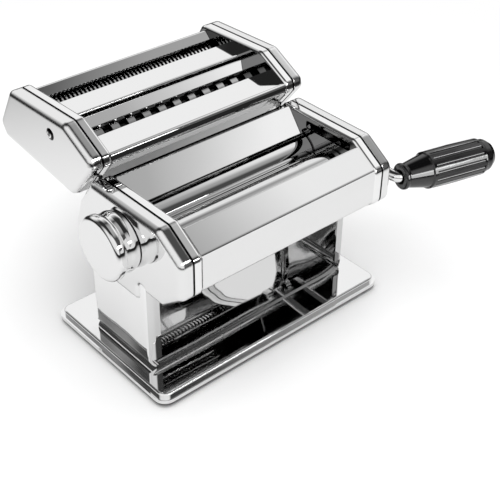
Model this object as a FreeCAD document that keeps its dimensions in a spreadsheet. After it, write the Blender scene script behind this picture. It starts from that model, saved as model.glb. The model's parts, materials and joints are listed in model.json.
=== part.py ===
"""Hand-cranked pasta roller machine with a detachable noodle cutter.

Frame: millimetres, +Z up, front towards -Y, crank on +X, thickness knob on -X.
The origin is the middle of the base, on the surface that the machine stands on.
"""
import FreeCAD, Part
import math
import os
from types import SimpleNamespace

Vector = FreeCAD.Vector
doc = FreeCAD.newDocument("PastaMachine")

SIZES = {
    # Base pan and feet
    "base_width": 206,
    "base_depth": 126,
    "base_corner": 9,
    "base_top": 10,
    "base_wall": 1.2,
    "base_step": 2.5,
    "base_rim_height": 3.6,
    "base_edge_round": 1.4,
    "foot_height": 3,
    "foot_radius": 8,
    "foot_taper": 1,
    "foot_inset": 17,
    # Stand
    "stand_depth": 66,
    "stand_middle": -2,
    "stand_top_rise": -19,
    "stand_wall": 1.5,
    "stand_bend": 7,
    "stand_edge_round": 4.5,
    "stand_flange": 8.6,
    "tie_radius": 3,
    "tie_shoulder": 0.8,
    "tie_lift": 10,
    "tie_inset": 5.5,
    "spacer_radius": 3.6,
    # Body between the two side plates
    "opening_width": 150,
    "side_wall": 1.5,
    "side_bend": 2.2,
    "lip_depth": 6.4,
    "seam_gap": 1,
    "cover_depth": 9.6,
    "cover_wall": 1.5,
    "cover_round": 4,
    "skirt_length": 1.7,
    "skirt_wall": 0.8,
    "sheet_fit": 0.1,
    "panel_wall": 1,
    # Outline of the body's side, seen along the rollers; a rise is a height above the roller axis
    "body_top_rise": 31,
    "body_front": -72.2,
    "body_back": 40.7,
    "top_front": -49.3,
    "top_back": 20,
    "front_shoulder_rise": 16,
    "front_chin_rise": -10,
    "back_shoulder_rise": 11,
    "back_shoulder_in": 5.9,
    "back_chin_rise": -17,
    "back_wall": 11,
    "belly_rise": -26,
    "belly_front": -52,
    "belly_back": 36.5,
    "tongue_bottom_rise": -37,
    "tongue_half": 25,
    "notch_width": 6,
    "notch_height": 3,
    "tongue_corner": 4,
    "notch_corner": 2.4,
    "notch_edge": 0.6,
    "belly_corner": 1,
    "chin_corner": 4,
    "front_corner": 6.5,
    "back_corner": 6,
    "shoulder_corner": 10,
    "top_back_corner": 5,
    "leg_slot_reach": 10,
    # Windows in the side plates, above the rollers
    "window_lift": 20.5,
    "window_top_gap": 4,
    "window_front_gap": 2,
    "window_back_gap": 24,
    "window_corner": 1.5,
    # Folded panels of the body
    "panel_inset": 0.4,
    "chin_fold": 12,
    "chin_drop": 5,
    "brow_in": 3.5,
    "brow_drop": 2.6,
    "brow_fold": 8,
    "chute_length": 21.5,
    "chute_drop": 10.6,
    "chute_edge": 4.5,
    # Dough rollers
    "roller_radius": 16,
    "roller_height": 101,
    "rear_roller_depth": 1.5,
    "gap_open": 3,
    "gap_closed": 0.5,
    "roller_edge": 0.6,
    "roller_end_gap": 0.5,
    "journal_radius": 5,
    "front_journal_radius": 4.5,
    "running_fit": 0.05,
    "bush_wall": 3,
    "bush_length": 3.5,
    "journal_proud": 0.5,
    "journal_short": 0.3,
    # Roller gears
    "gear_teeth": 12,
    "gear_width": 4.2,
    "gear_backlash": 0.5,
    "gear_standoff": 0.8,
    "gear_pressure": 25,
    "gear_addendum": 0.8,
    # Sliding bearing blocks
    "block_half_depth": 7,
    "block_half_height": 8,
    "block_lap": 2,
    "block_thickness": 2.2,
    "block_corner": 2,
    "slide_fit": 0.2,
    # Thickness adjuster
    "adjuster_depth": -13,
    "adjuster_axis_rise": 5.4,
    "cam_radius": 20.5,
    "cam_thickness": 3.5,
    "cam_clearance": 0.8,
    "cam_pin_orbit": 15,
    "cam_pin_radius": 1.8,
    "cam_groove_depth": 2,
    "cam_groove_fit": 0.35,
    "knob_turn": 300,
    "knob_radius": 22.2,
    "knob_depth": 18.3,
    "knob_gap": 0.5,
    "knob_wall": 1.6,
    "knob_face_round": 3,
    "knob_bead": 8,
    "knob_groove": 3,
    "knob_waist": 20.6,
    "knob_swell": 21.1,
    "knob_foot": 19.8,
    "knob_shaft_radius": 5,
    "knob_bush_wall": 3,
    "knob_bush_lap": 3,
    "knob_bush_gap": 0.3,
    "knob_spigot_step": 1.5,
    "knob_floor": 3.5,
    "spring_turns": 3,
    "spring_wire_radius": 0.6,
    "spring_radius": 7.4,
    "spring_seat": 0.05,
    "washer_radius": 9.4,
    "washer_thickness": 1.2,
    "washer_gap": 0.8,
    "washer_room": 0.6,
    # Crank
    "rod_radius": 4,
    "hex_across": 7,
    "hub_radius": 7.5,
    "hub_proud": 1.2,
    "hub_socket": 5.6,
    "hub_gap": 0.3,
    "escutcheon_wall": 2,
    "escutcheon_lap": 1.5,
    "escutcheon_thickness": 1,
    "hex_proud": 1,
    "hex_gap": 0.5,
    "crank_standoff": 15.3,
    "crank_arm": 66.1,
    "crank_drop": 4.5,
    "crank_bend": 6,
    "crank_splay": 13.6,
    "grip_start": 5,
    "grip_length": 77.5,
    "grip_radius": 14,
    "grip_collar_radius": 9.7,
    "grip_collar_length": 3.6,
    "grip_recess": 2,
    "grip_neck_length": 20.5,
    "grip_cap_length": 8,
    "grip_pin_radius": 3,
    "grip_flutes": 16,
    "grip_flute_radius": 1.7,
    "grip_flute_lift": 0.5,
    "grip_flute_margin": 3,
    "grip_mouth_gap": 1.5,
    "grip_step": 0.8,
    "grip_end_gap": 0.3,
    "grip_swell": 60,
    "grip_cap_step": 1.6,
    "grip_cap_chamfer": 4.6,
    "grip_washer_inset": 3,
    "grip_washer_lap": 3,
    "grip_washer_thickness": 1.5,
    # Cutter attachment, outline of its side
    "cutter_top_front_rise": 61.5,
    "cutter_top_back_rise": 59.5,
    "cutter_brow": 46,
    "cutter_crest": 112,
    "cutter_front": 17,
    "cutter_front_level_rise": 40.5,
    "cutter_nose": 18.5,
    "cutter_nose_level_rise": 47,
    "cutter_heel": 38.5,
    "cutter_heel_level_rise": 13,
    "cutter_foot": 44,
    "cutter_foot_level_rise": 10,
    "cutter_tail": 124,
    "cutter_tail_level_rise": 19,
    "cutter_back": 130,
    "cutter_back_level_rise": 29.5,
    "cutter_low_corner": 3,
    "cutter_tail_corner": 5,
    "cutter_back_corner": 6,
    "cutter_brow_corner": 8,
    "cutter_nose_corner": 5,
    "cutter_front_corner": 4,
    # Folded panels of the attachment
    "cutter_slot_half": 6.1,
    "wide_panel_lift": 12,
    "fine_panel_lift": 13,
    "ridge_run": 7.6,
    "ridge_gap": 3.7,
    "ridge_fold": 5,
    "rear_lip_run": 9.5,
    "rear_lip_lift": 3.6,
    "rear_edge_lift": 0.6,
    "ridge_drop": 0.2,
    "nose_drop": 1,
    "nose_in": 0.6,
    # Cutter rollers
    "disc_radius": 9.5,
    "disc_root": 6.8,
    "cutter_spacing": 17.5,
    "cutter_end_gap": 1,
    "wide_middle": 47.5,
    "wide_axis_rise": 35,
    "wide_width": 6.5,
    "wide_side_gap": 0.3,
    "fine_middle": 92.4,
    "fine_axis_rise": 40,
    "fine_width": 1.67,
    "fine_side_gap": 0.22,
    "cutter_journal_radius": 3.5,
    "cutter_bush_wall": 2,
    "cutter_bush_length": 3,
    "cutter_bush_gap": 1,
    "cutter_socket": 2.2,
    "cutter_drive_gap": 1.5,
    "cutter_drive_inset": 0.6,
    "cutter_gear_teeth": 14,
    "cutter_gear_width": 4.5,
    "cutter_gear_backlash": 0.35,
    "cutter_rod_radius": 3,
    "cutter_rod_shoulder": 0.8,
    "cutter_rod_lift": 8,
    "cutter_rod_proud": 1.5,
    "screw_depth": 62.5,
    "screw_level_rise": 47.6,
    "screw_radius": 4.3,
    "screw_height": 1.2,
    "screw_shank": 2.2,
    "screw_dimple": 1.3,
    "screw_dimple_depth": 0.6,
    "screw_reach": 3,
    # Hooks of the attachment
    "tongue_width": 3.2,
    "tongue_wall": 2.6,
    "tongue_depth": 14,
    "tongue_fit": 0.3,
    "tongue_slot_extra": 4,
    "tongue_setback": 7.5,
    "tongue_standoff": 0.6,
    "tongue_round": 0.6,
}

sheet = doc.addObject("Spreadsheet::Sheet", "Sizes")
for row, (alias, value) in enumerate(SIZES.items(), start=1):
    sheet.set(f"A{row}", alias)
    sheet.set(f"B{row}", str(value))
    sheet.setAlias(f"B{row}", alias)
doc.recompute()
s = SimpleNamespace(**{alias: float(sheet.get(alias)) for alias in SIZES})
for alias in SIZES:
    if alias.endswith("_rise"):
        setattr(s, alias.removesuffix("_rise"), s.roller_height + getattr(s, alias))

# Planes along the rollers, on the +X side
side_in = s.opening_width / 2
side_out = side_in + s.side_wall
lip_end = side_in + s.lip_depth
cover_start = lip_end + s.seam_gap
cover_face = cover_start + s.cover_depth
cover_inner = cover_face - s.cover_wall
skirt_start = cover_start - s.skirt_length
ring_wall = s.side_wall + s.sheet_fit + s.skirt_wall

# Places across the body
stand_front = s.stand_middle - s.stand_depth / 2
stand_back = s.stand_middle + s.stand_depth / 2
rear_axis = s.rear_roller_depth
front_axis = rear_axis - 2 * s.roller_radius - s.gap_open
gap_travel = s.gap_open - s.gap_closed
nodes = {}


def keep(label, made):
    """Name a finished sub-part and list it for writing."""
    made.Label = label
    nodes[label] = made
    return made


def bind(made, **cells):
    """Tie properties of an object to expressions over the sheet."""
    for name, expression in cells.items():
        made.setExpression(name, expression)


def new_body(label):
    return keep(label, doc.addObject("PartDesign::Body", label))


def new_sketch(body, role, offset=Vector(), geometry=()):
    """Sketch on an origin plane of its body, moved by an offset in the plane's own axes."""
    made = body.newObject("Sketcher::SketchObject", body.Name + "_sketch")
    origin_plane = next(f for f in body.Origin.OriginFeatures if f.Role == role)
    made.AttachmentSupport = (origin_plane, [""])
    made.MapMode = "FlatFace"
    made.AttachmentOffset = FreeCAD.Placement(offset, FreeCAD.Rotation())
    made.addGeometry(list(geometry))
    return made


def pad(body, sketch, length):
    made = body.newObject("PartDesign::Pad", body.Name + "_pad")
    made.Profile = sketch
    bind(made, Length=length)
    return made


def pocket(body, sketch, length, forward=False):
    """Cut against the sketch's normal, or along it when forward."""
    made = body.newObject("PartDesign::Pocket", body.Name + "_pocket")
    made.Profile = sketch
    made.Reversed = forward
    bind(made, Length=length)
    return made


def revolve(body, sketch):
    """Full turn about the sketch's own horizontal axis."""
    made = body.newObject("PartDesign::Revolution", body.Name + "_turned")
    made.Profile = sketch
    made.ReferenceAxis = (sketch, ["H_Axis"])
    made.Angle = 360
    return made


def fillet(body, base, radius, chosen):
    """Round the edges of a feature that a test picks by their middle point."""
    doc.recompute()
    names = []
    for number, edge in enumerate(base.Shape.Edges, start=1):
        if chosen(edge.CenterOfMass, edge):
            names.append(f"Edge{number}")
    made = body.newObject("PartDesign::Fillet", body.Name + "_fillet")
    made.Base = (base, names)
    bind(made, Radius=radius)
    return made


def arc_between(centre, radius, start, end, middle):
    """Counter-clockwise arc through the middle point, whichever end comes first."""
    angle = [math.atan2(p.y - centre.y, p.x - centre.x) for p in (start, middle, end)]
    turn = 2 * math.pi
    if (angle[1] - angle[0]) % turn > (angle[2] - angle[0]) % turn:
        angle.reverse()
    sweep = (angle[2] - angle[0]) % turn
    circle = Part.Circle(centre, Vector(0, 0, 1), radius)
    return Part.ArcOfCircle(circle, angle[0], angle[0] + sweep)


def rounded(corners):
    """Closed outline of (u, v, radius) corners as lines and tangent arcs."""
    count = len(corners)
    bends = []
    for i, (u, v, radius) in enumerate(corners):
        here = Vector(u, v, 0)
        to_last = (Vector(*corners[i - 1][:2], 0) - here).normalize()
        to_next = (Vector(*corners[(i + 1) % count][:2], 0) - here).normalize()
        half = to_last.getAngle(to_next) / 2
        if radius <= 0 or abs(half - math.pi / 2) < 1e-4:
            bends.append((here, None, here))
            continue
        middle_line = (to_last + to_next).normalize()
        centre = here + middle_line * (radius / math.sin(half))
        start = here + to_last * (radius / math.tan(half))
        end = here + to_next * (radius / math.tan(half))
        bends.append((start, arc_between(centre, radius, start, end, centre - middle_line * radius), end))
    outline = []
    for i, (start, arc, end) in enumerate(bends):
        if arc:
            outline.append(arc)
        following = bends[(i + 1) % count][0]
        if (following - end).Length > 1e-6:
            outline.append(Part.LineSegment(end, following))
    return outline


def meet(point, direction, other_point, other_direction):
    """Crossing of two lines in the plane."""
    cross = direction.x * other_direction.y - direction.y * other_direction.x
    gap = other_point - point
    along = (gap.x * other_direction.y - gap.y * other_direction.x) / cross
    return point + direction * along


def inset(corners, distance):
    """Outline moved inwards, for corners that run counter-clockwise."""
    count = len(corners)
    sides = []
    for i in range(count):
        start = Vector(*corners[i][:2], 0)
        direction = (Vector(*corners[(i + 1) % count][:2], 0) - start).normalize()
        sides.append((start + Vector(-direction.y, direction.x, 0) * distance, direction))
    moved = []
    for i, (u, v, radius) in enumerate(corners):
        before, after = sides[i - 1], sides[i]
        point = meet(before[0], before[1], after[0], after[1])
        convex = before[1].x * after[1].y - before[1].y * after[1].x > 0
        new_radius = max(radius - distance, 0.2) if convex else radius + distance
        moved.append((point.x, point.y, new_radius if radius else 0))
    return moved


def strip(corners, wall):
    """Closed section of a folded sheet: its outer face is the given line, its wall lies on the left."""
    points = [Vector(u, v, 0) for u, v, _ in corners]
    ways = [(b - a).normalize() for a, b in zip(points, points[1:])]
    left = [Vector(-way.y, way.x, 0) * wall for way in ways]
    other = [(points[0] + left[0], 0)]
    for i in range(1, len(points) - 1):
        point = meet(points[i] + left[i - 1], ways[i - 1], points[i] + left[i], ways[i])
        turns_left = ways[i - 1].x * ways[i].y - ways[i - 1].y * ways[i].x > 0
        bend = corners[i][2]
        other.append((point, max(bend - wall, 0.2) if turns_left else bend + wall))
    other.append((points[-1] + left[-1], 0))
    return list(corners) + [(p.x, p.y, r) for p, r in reversed(other)]


def rectangle(u_low, v_low, u_high, v_high, radius=0.0):
    return rounded([(u_low, v_low, radius), (u_high, v_low, radius),
                    (u_high, v_high, radius), (u_low, v_high, radius)])


def ring(u, v, radius):
    return Part.Circle(Vector(u, v, 0), Vector(0, 0, 1), radius)


def along_x(x):
    """Offset of a sketch on the YZ plane to a station along the rollers."""
    return Vector(0, 0, x)


def turned(label, depth, height, profile):
    """Piece turned about an axis parallel to the rollers, from (x, radius) points."""
    body = new_body(label)
    ends = [(profile[0][0], 0, 0)] + [(x, r, 0) for x, r in profile] + [(profile[-1][0], 0, 0)]
    sketch = new_sketch(body, "XY_Plane", Vector(0, depth, height), rounded(ends))
    revolve(body, sketch)
    return body


def tube_ring(depth, height, outer, inner, x_low, x_high):
    """Plain ring about an axis parallel to the rollers."""
    base = Vector(min(x_low, x_high), depth, height)
    length = abs(x_high - x_low)
    solid = Part.makeCylinder(outer, length, base, Vector(1, 0, 0))
    if inner > 0:
        solid = solid.cut(Part.makeCylinder(inner, length, base, Vector(1, 0, 0)))
    return solid


def group(label, solids):
    """Several equal small pieces kept under one name."""
    made = keep(label, doc.addObject("Part::Feature", label))
    made.Shape = solids[0] if len(solids) == 1 else Part.makeCompound(solids)
    return made


# Turn that carries a flat outline's own axes onto Y and Z
ACROSS = FreeCAD.Rotation(Vector(0, 1, 0), Vector(0, 0, 1), Vector(1, 0, 0))


def prism_x(outline, x_low, x_high):
    """Solid with a YZ outline between two stations along the rollers."""
    edges = [curve.toShape() for curve in outline]
    face = Part.Face(Part.Wire(Part.__sortEdges__(edges)))
    face.Placement = FreeCAD.Placement(Vector(x_low, 0, 0), ACROSS)
    return face.extrude(Vector(x_high - x_low, 0, 0))


# Base pan, its feet and the stand

def make_base():
    body = new_body("base_plate")
    half_width = s.base_width / 2
    half_depth = s.base_depth / 2
    rim = rectangle(-half_width, -half_depth, half_width, half_depth, s.base_corner)
    rim_sketch = new_sketch(body, "XY_Plane", Vector(0, 0, s.foot_height), rim)
    pad(body, rim_sketch, "Sizes.base_rim_height")
    half_width -= s.base_step
    half_depth -= s.base_step
    corner = s.base_corner - s.base_step
    plate = rectangle(-half_width, -half_depth, half_width, half_depth, corner)
    step = s.foot_height + s.base_rim_height
    high = pad(body, new_sketch(body, "XY_Plane", Vector(0, 0, step), plate),
               "Sizes.base_top - Sizes.foot_height - Sizes.base_rim_height")
    fillet(body, high, "Sizes.base_edge_round", lambda middle, edge: abs(middle.z - s.base_top) < 1e-4)
    wall = s.base_wall
    hollow = rectangle(wall - half_width, wall - half_depth, half_width - wall, half_depth - wall,
                       corner - wall)
    pocket(body, new_sketch(body, "XY_Plane", Vector(0, 0, s.foot_height), hollow),
           "Sizes.base_top - Sizes.foot_height - Sizes.base_wall", forward=True)


def make_feet():
    feet = []
    for side_x in (-1, 1):
        for side_y in (-1, 1):
            x = side_x * (s.base_width / 2 - s.foot_inset)
            y = side_y * (s.base_depth / 2 - s.foot_inset)
            height = s.base_top - s.base_wall
            feet.append(Part.makeCone(s.foot_radius - s.foot_taper, s.foot_radius, height, Vector(x, y, 0)))
    group("rubber_feet", feet)


def make_stand():
    """One sheet: a floor on the base pan, two legs, and a narrow flange along each leg edge."""
    half = cover_inner - s.sheet_fit
    wall = s.stand_wall
    floor = s.base_top
    inner = half - wall
    inner_bend = s.stand_bend - wall
    u_shape = rounded([(-half, s.stand_top, 0), (-half, floor, s.stand_bend), (half, floor, s.stand_bend),
                       (half, s.stand_top, 0), (inner, s.stand_top, 0), (inner, floor + wall, inner_bend),
                       (-inner, floor + wall, inner_bend), (-inner, s.stand_top, 0)])
    face = Part.Face(Part.Wire(Part.__sortEdges__([curve.toShape() for curve in u_shape])))
    face.Placement = FreeCAD.Placement(Vector(0, stand_front, 0),
                                       FreeCAD.Rotation(Vector(1, 0, 0), Vector(0, 0, 1), Vector(0, -1, 0)))
    sheet_u = face.extrude(Vector(0, s.stand_depth, 0))

    def plan(inset_by, low, high):
        outline = rectangle(inset_by - half, stand_front + inset_by, half - inset_by, stand_back - inset_by,
                            s.stand_edge_round - inset_by)
        plan_face = Part.Face(Part.Wire(Part.__sortEdges__([curve.toShape() for curve in outline])))
        plan_face.translate(Vector(0, 0, low))
        return plan_face.extrude(Vector(0, 0, high - low))

    bend_top = floor + s.stand_bend
    legs = plan(0, bend_top, s.stand_top).cut(plan(wall, bend_top, s.stand_top))
    flange_in = half - s.stand_flange
    gap = Part.makeBox(2 * flange_in, 2 * s.stand_depth, s.stand_top,
                       Vector(-flange_in, stand_front - s.stand_depth / 2, bend_top))
    rods = [tube_ring(depth, tie_height, tie_spigot, 0, -half, half) for depth in tie_depths]
    made = keep("stand_bracket", doc.addObject("Part::Feature", "stand_bracket"))
    shape = sheet_u.common(plan(0, floor, s.stand_top)).fuse(legs.cut(gap))
    made.Shape = shape.cut(Part.makeCompound(rods)).removeSplitter()


# Rods that join the side plates and carry them on the legs

tie_height = s.tongue_bottom + s.tie_lift
tie_depths = (s.stand_middle - s.tongue_half + s.tie_inset, s.stand_middle + s.tongue_half - s.tie_inset)
tie_spigot = s.tie_radius - s.tie_shoulder


def make_tie_rods():
    half = cover_inner - s.sheet_fit
    rods = []
    spacers = []
    for depth in tie_depths:
        rod = tube_ring(depth, tie_height, s.tie_radius, 0, -side_in, side_in)
        rods.append(rod.fuse(tube_ring(depth, tie_height, tie_spigot, 0, -half, half)).removeSplitter())
        for side in (-1, 1):
            spacers.append(tube_ring(depth, tie_height, s.spacer_radius, tie_spigot,
                                     side * side_out, side * (half - s.stand_wall)))
    group("tie_rods", rods)
    group("leg_spacers", spacers)


# Side trays, covers and panels

def body_outline():
    """Side outline of the body, counter-clockwise from the foot of its tongue."""
    front = s.stand_middle - s.tongue_half
    back = s.stand_middle + s.tongue_half
    notch_top = s.belly + s.notch_height
    return [
        (front, s.tongue_bottom, s.tongue_corner), (back, s.tongue_bottom, s.tongue_corner),
        (back, notch_top, s.notch_corner), (back + s.notch_width, notch_top, s.notch_corner),
        (back + s.notch_width, s.belly, s.notch_edge), (s.belly_back, s.belly, s.belly_corner),
        (s.body_back, s.back_chin, s.chin_corner), (s.body_back, s.back_chin + s.back_wall, s.back_corner),
        (s.body_back - s.back_shoulder_in, s.back_shoulder, s.shoulder_corner),
        (s.top_back, s.body_top, s.top_back_corner), (s.top_front, s.body_top, s.front_corner),
        (s.body_front, s.front_shoulder, s.front_corner), (s.body_front, s.front_chin, s.front_corner),
        (s.belly_front, s.belly, s.front_corner),
        (front - s.notch_width, s.belly, s.notch_edge), (front - s.notch_width, notch_top, s.notch_corner),
        (front, notch_top, s.notch_corner),
    ]


def cutter_outline():
    """Side outline of the attachment, counter-clockwise from its front foot."""
    return [
        (s.cutter_foot, s.cutter_foot_level, s.cutter_low_corner),
        (s.cutter_tail, s.cutter_tail_level, s.cutter_tail_corner),
        (s.cutter_back, s.cutter_back_level, s.cutter_back_corner),
        (s.cutter_crest, s.cutter_top_back, s.cutter_back_corner),
        (s.cutter_brow, s.cutter_top_front, s.cutter_brow_corner),
        (s.cutter_nose, s.cutter_nose_level, s.cutter_nose_corner),
        (s.cutter_front, s.cutter_front_level, s.cutter_front_corner),
        (s.cutter_heel, s.cutter_heel_level, s.cutter_low_corner),
    ]


def station(side, low, high):
    """Lower end of a span that is mirrored to the chosen side."""
    return low if side > 0 else -high


def make_tray(label, outline, side, holes):
    """Inner side plate: a web with holes and a lip folded outwards round its outline."""
    body = new_body(label)
    web = along_x(station(side, side_in, side_out))
    pad(body, new_sketch(body, "YZ_Plane", web, rounded(outline)), "Sizes.side_wall")
    lip_sketch = new_sketch(body, "YZ_Plane", along_x(station(side, side_out, lip_end)),
                            rounded(outline) + rounded(inset(outline, s.side_wall)))
    lip = pad(body, lip_sketch, "Sizes.lip_depth - Sizes.side_wall")
    fillet(body, lip, "Sizes.side_bend", lambda middle, edge: abs(middle.x - side * side_in) < 1e-4)
    pocket(body, new_sketch(body, "YZ_Plane", web + along_x(s.side_wall), holes), "Sizes.side_wall")
    return body


def make_cover(label, outline, side, holes, slots=()):
    """Outer stamped cover with a skirt that plugs into the lip of the side plate."""
    body = new_body(label)
    plug = rounded(inset(outline, s.side_wall + s.sheet_fit))
    skirt = along_x(station(side, skirt_start, cover_start))
    pad(body, new_sketch(body, "YZ_Plane", skirt, plug), "Sizes.skirt_length")
    shell_low = station(side, cover_start, cover_face)
    shell = pad(body, new_sketch(body, "YZ_Plane", along_x(shell_low), rounded(outline)), "Sizes.cover_depth")
    fillet(body, shell, "Sizes.cover_round", lambda middle, edge: abs(middle.x - side * cover_face) < 1e-4)
    mouth = along_x(side * skirt_start)
    inside = "Sizes.skirt_length + Sizes.cover_depth - Sizes.cover_wall"
    for cut in (rounded(inset(outline, ring_wall)), slots):
        if cut:
            pocket(body, new_sketch(body, "YZ_Plane", mouth, cut), inside, forward=side > 0)
    hole_sketch = new_sketch(body, "YZ_Plane", along_x(shell_low + s.cover_depth), holes)
    pocket(body, hole_sketch, "Sizes.cover_depth")
    return body


def make_panel(label, corners):
    """Folded sheet that spans the opening between the two side plates."""
    body = new_body(label)
    sketch = new_sketch(body, "YZ_Plane", along_x(-side_in), rounded(strip(corners, s.panel_wall)))
    pad(body, sketch, "Sizes.opening_width")
    return body


bush_outer = s.journal_radius + s.running_fit + s.bush_wall
slot_half_height = s.block_half_height + s.slide_fit


def make_sides():
    outline = body_outline()
    slot = rectangle(front_axis - s.block_half_depth - s.slide_fit, s.roller_height - slot_half_height,
                     front_axis + s.block_half_depth + gap_travel + s.slide_fit,
                     s.roller_height + slot_half_height)
    window = rectangle(s.top_front + s.window_front_gap, s.roller_height + s.window_lift,
                       s.top_back - s.window_back_gap, s.body_top - s.window_top_gap, s.window_corner)
    holes = [ring(rear_axis, s.roller_height, bush_outer)] + slot + window
    holes += [ring(depth, tie_height, tie_spigot) for depth in tie_depths]
    for label, side in (("left_side_plate", -1), ("right_side_plate", 1)):
        body = make_tray(label, outline, side, holes)
        low = station(side, tongue_x - s.tongue_fit, tongue_x + s.tongue_width + s.tongue_fit)
        cut = new_sketch(body, "XY_Plane", Vector(0, 0, s.body_top),
                         rectangle(low, tongue_near - s.tongue_fit,
                                   low + s.tongue_width + 2 * s.tongue_fit, tongue_far + s.tongue_fit))
        pocket(body, cut, "Sizes.body_top_rise - Sizes.back_shoulder_rise + Sizes.tongue_slot_extra")
    legs = rectangle(stand_front - s.sheet_fit, s.tongue_bottom - s.leg_slot_reach,
                     stand_back + s.sheet_fit, s.stand_top + s.sheet_fit)
    make_cover("left_cover", outline, -1, [ring(s.adjuster_depth, s.adjuster_axis, knob_bush_outer)], legs)
    make_cover("right_cover", outline, 1, [ring(rear_axis, s.roller_height, escutcheon_outer)], legs)


def make_panels():
    front = s.body_front + s.panel_inset
    brow = s.top_front - s.brow_in
    make_panel("front_panel", [
        (s.belly_front - s.chin_fold, s.front_chin - s.chin_drop, 0),
        (front, s.front_chin + s.panel_wall, 3 * s.panel_wall), (front, s.front_shoulder, 4 * s.panel_wall),
        (brow, s.body_top - s.brow_drop, 1.6 * s.panel_wall),
        (brow + s.panel_wall, s.body_top - s.brow_fold, 0)][::-1])
    crest = s.top_back - s.chute_edge
    back = s.body_back - s.panel_inset
    make_panel("rear_panel", [
        (crest - s.chute_length, s.body_top - s.panel_inset - s.chute_drop, 0),
        (crest, s.body_top - s.panel_inset, 3 * s.panel_wall),
        (s.top_back - 0.6 * s.panel_wall, s.body_top - 1.2 * s.panel_wall, 2 * s.panel_wall),
        (back - s.back_shoulder_in, s.back_shoulder, 8 * s.panel_wall),
        (back, s.back_chin + s.back_wall, 5 * s.panel_wall),
        (back, s.back_chin + s.panel_wall, 2 * s.panel_wall),
        (s.belly_back + 2 * s.panel_wall, s.belly + 4 * s.panel_wall, 0)][::-1])


# Dough rollers with their bushes, bearing blocks and gears

def gear_outline(teeth, module, backlash, phase):
    """Involute gear as straight flank steps: base, pitch and tip of each flank."""
    pressure = math.radians(s.gear_pressure)
    pitch_radius = module * teeth / 2
    base_radius = pitch_radius * math.cos(pressure)
    tip_radius = pitch_radius + s.gear_addendum * module
    root_radius = pitch_radius - module
    half_pitch = (math.pi * module / 4 - backlash / 2) / pitch_radius

    def involute(angle):
        return math.tan(angle) - angle

    def half_angle(radius):
        turn = math.acos(min(1.0, base_radius / radius))
        return half_pitch + involute(pressure) - involute(turn)

    steps = [(root_radius, half_angle(base_radius))]
    steps += [(radius, half_angle(radius)) for radius in (base_radius, pitch_radius, tip_radius)]
    points = []
    for tooth in range(int(teeth)):
        middle = phase + 2 * math.pi * tooth / teeth
        for radius, half in steps:
            points.append((radius * math.cos(middle - half), radius * math.sin(middle - half), 0))
        for radius, half in reversed(steps):
            points.append((radius * math.cos(middle + half), radius * math.sin(middle + half), 0))
    return rounded(points)


def make_gear(label, depth, height, x_low, width, outline, bore):
    body = new_body(label)
    sketch = new_sketch(body, "YZ_Plane", along_x(x_low), outline + [ring(0, 0, bore)])
    pad(body, sketch, width)
    body.Placement = FreeCAD.Placement(Vector(0, depth, height), FreeCAD.Rotation())
    return body


gear_start = side_in + s.bush_length + s.gear_standoff
gear_end = gear_start + s.gear_width
hub_start = gear_end
hub_end = cover_face + s.hub_proud
escutcheon_inner = s.hub_radius + s.hub_gap
escutcheon_outer = escutcheon_inner + s.escutcheon_wall


def make_rollers():
    half = side_in - s.roller_end_gap
    edge = s.roller_edge
    block_end = side_out + s.slide_fit + s.block_thickness
    turned("rear_roller", rear_axis, s.roller_height, [
        (-side_in - s.bush_length - s.journal_proud, s.journal_radius), (-half, s.journal_radius),
        (-half, s.roller_radius - edge), (edge - half, s.roller_radius), (half - edge, s.roller_radius),
        (half, s.roller_radius - edge), (half, s.journal_radius), (hub_start, s.journal_radius)])
    turned("front_roller", front_axis, s.roller_height, [
        (s.journal_short - block_end, s.front_journal_radius), (-half, s.front_journal_radius),
        (-half, s.roller_radius - edge), (edge - half, s.roller_radius), (half - edge, s.roller_radius),
        (half, s.roller_radius - edge), (half, s.front_journal_radius), (gear_end, s.front_journal_radius)])
    inner = s.journal_radius + s.running_fit
    bush_end = side_in + s.bush_length
    group("rear_roller_bushes", [
        tube_ring(rear_axis, s.roller_height, bush_outer, inner, side * side_in, side * bush_end)
        for side in (-1, 1)])
    module = (2 * s.roller_radius + s.gap_closed) / s.gear_teeth
    tooth = math.pi / s.gear_teeth
    make_gear("rear_roller_gear", rear_axis, s.roller_height, gear_start, "Sizes.gear_width",
              gear_outline(s.gear_teeth, module, s.gear_backlash, math.pi), s.journal_radius)
    make_gear("front_roller_gear", front_axis, s.roller_height, gear_start, "Sizes.gear_width",
              gear_outline(s.gear_teeth, module, s.gear_backlash, tooth), s.front_journal_radius)


def make_bearing(label, side):
    """Block that slides in the slot of its side plate and keeps a flange outside."""
    body = new_body(label)
    boss = rectangle(-s.block_half_depth, -s.block_half_height, s.block_half_depth, s.block_half_height)
    half_depth = s.block_half_depth + s.block_lap
    half_height = s.block_half_height + s.block_lap
    flange = rectangle(-half_depth, -half_height, half_depth, half_height, s.block_corner)
    bore = ring(0, 0, s.front_journal_radius + s.running_fit)
    flange_in = side_out + s.slide_fit
    boss_sketch = new_sketch(body, "YZ_Plane", along_x(station(side, side_in, flange_in)), boss + [bore])
    pad(body, boss_sketch, "Sizes.side_wall + Sizes.slide_fit")
    flange_low = along_x(station(side, flange_in, flange_in + s.block_thickness))
    flange_sketch = new_sketch(body, "YZ_Plane", flange_low, flange + [bore])
    pad(body, flange_sketch, "Sizes.block_thickness")
    if side < 0:
        reach = s.adjuster_depth - s.cam_pin_orbit - front_axis
        pin_end = cam_in + s.cam_groove_depth - s.cam_groove_fit
        pin = new_sketch(body, "YZ_Plane", along_x(-pin_end),
                         [ring(reach, s.adjuster_axis_rise, s.cam_pin_radius)])
        pad(body, pin, f"{pin_end - flange_in}")
    body.Placement = FreeCAD.Placement(Vector(0, front_axis, s.roller_height), FreeCAD.Rotation())


# Thickness adjuster: spiral cam, sprung knob

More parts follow.
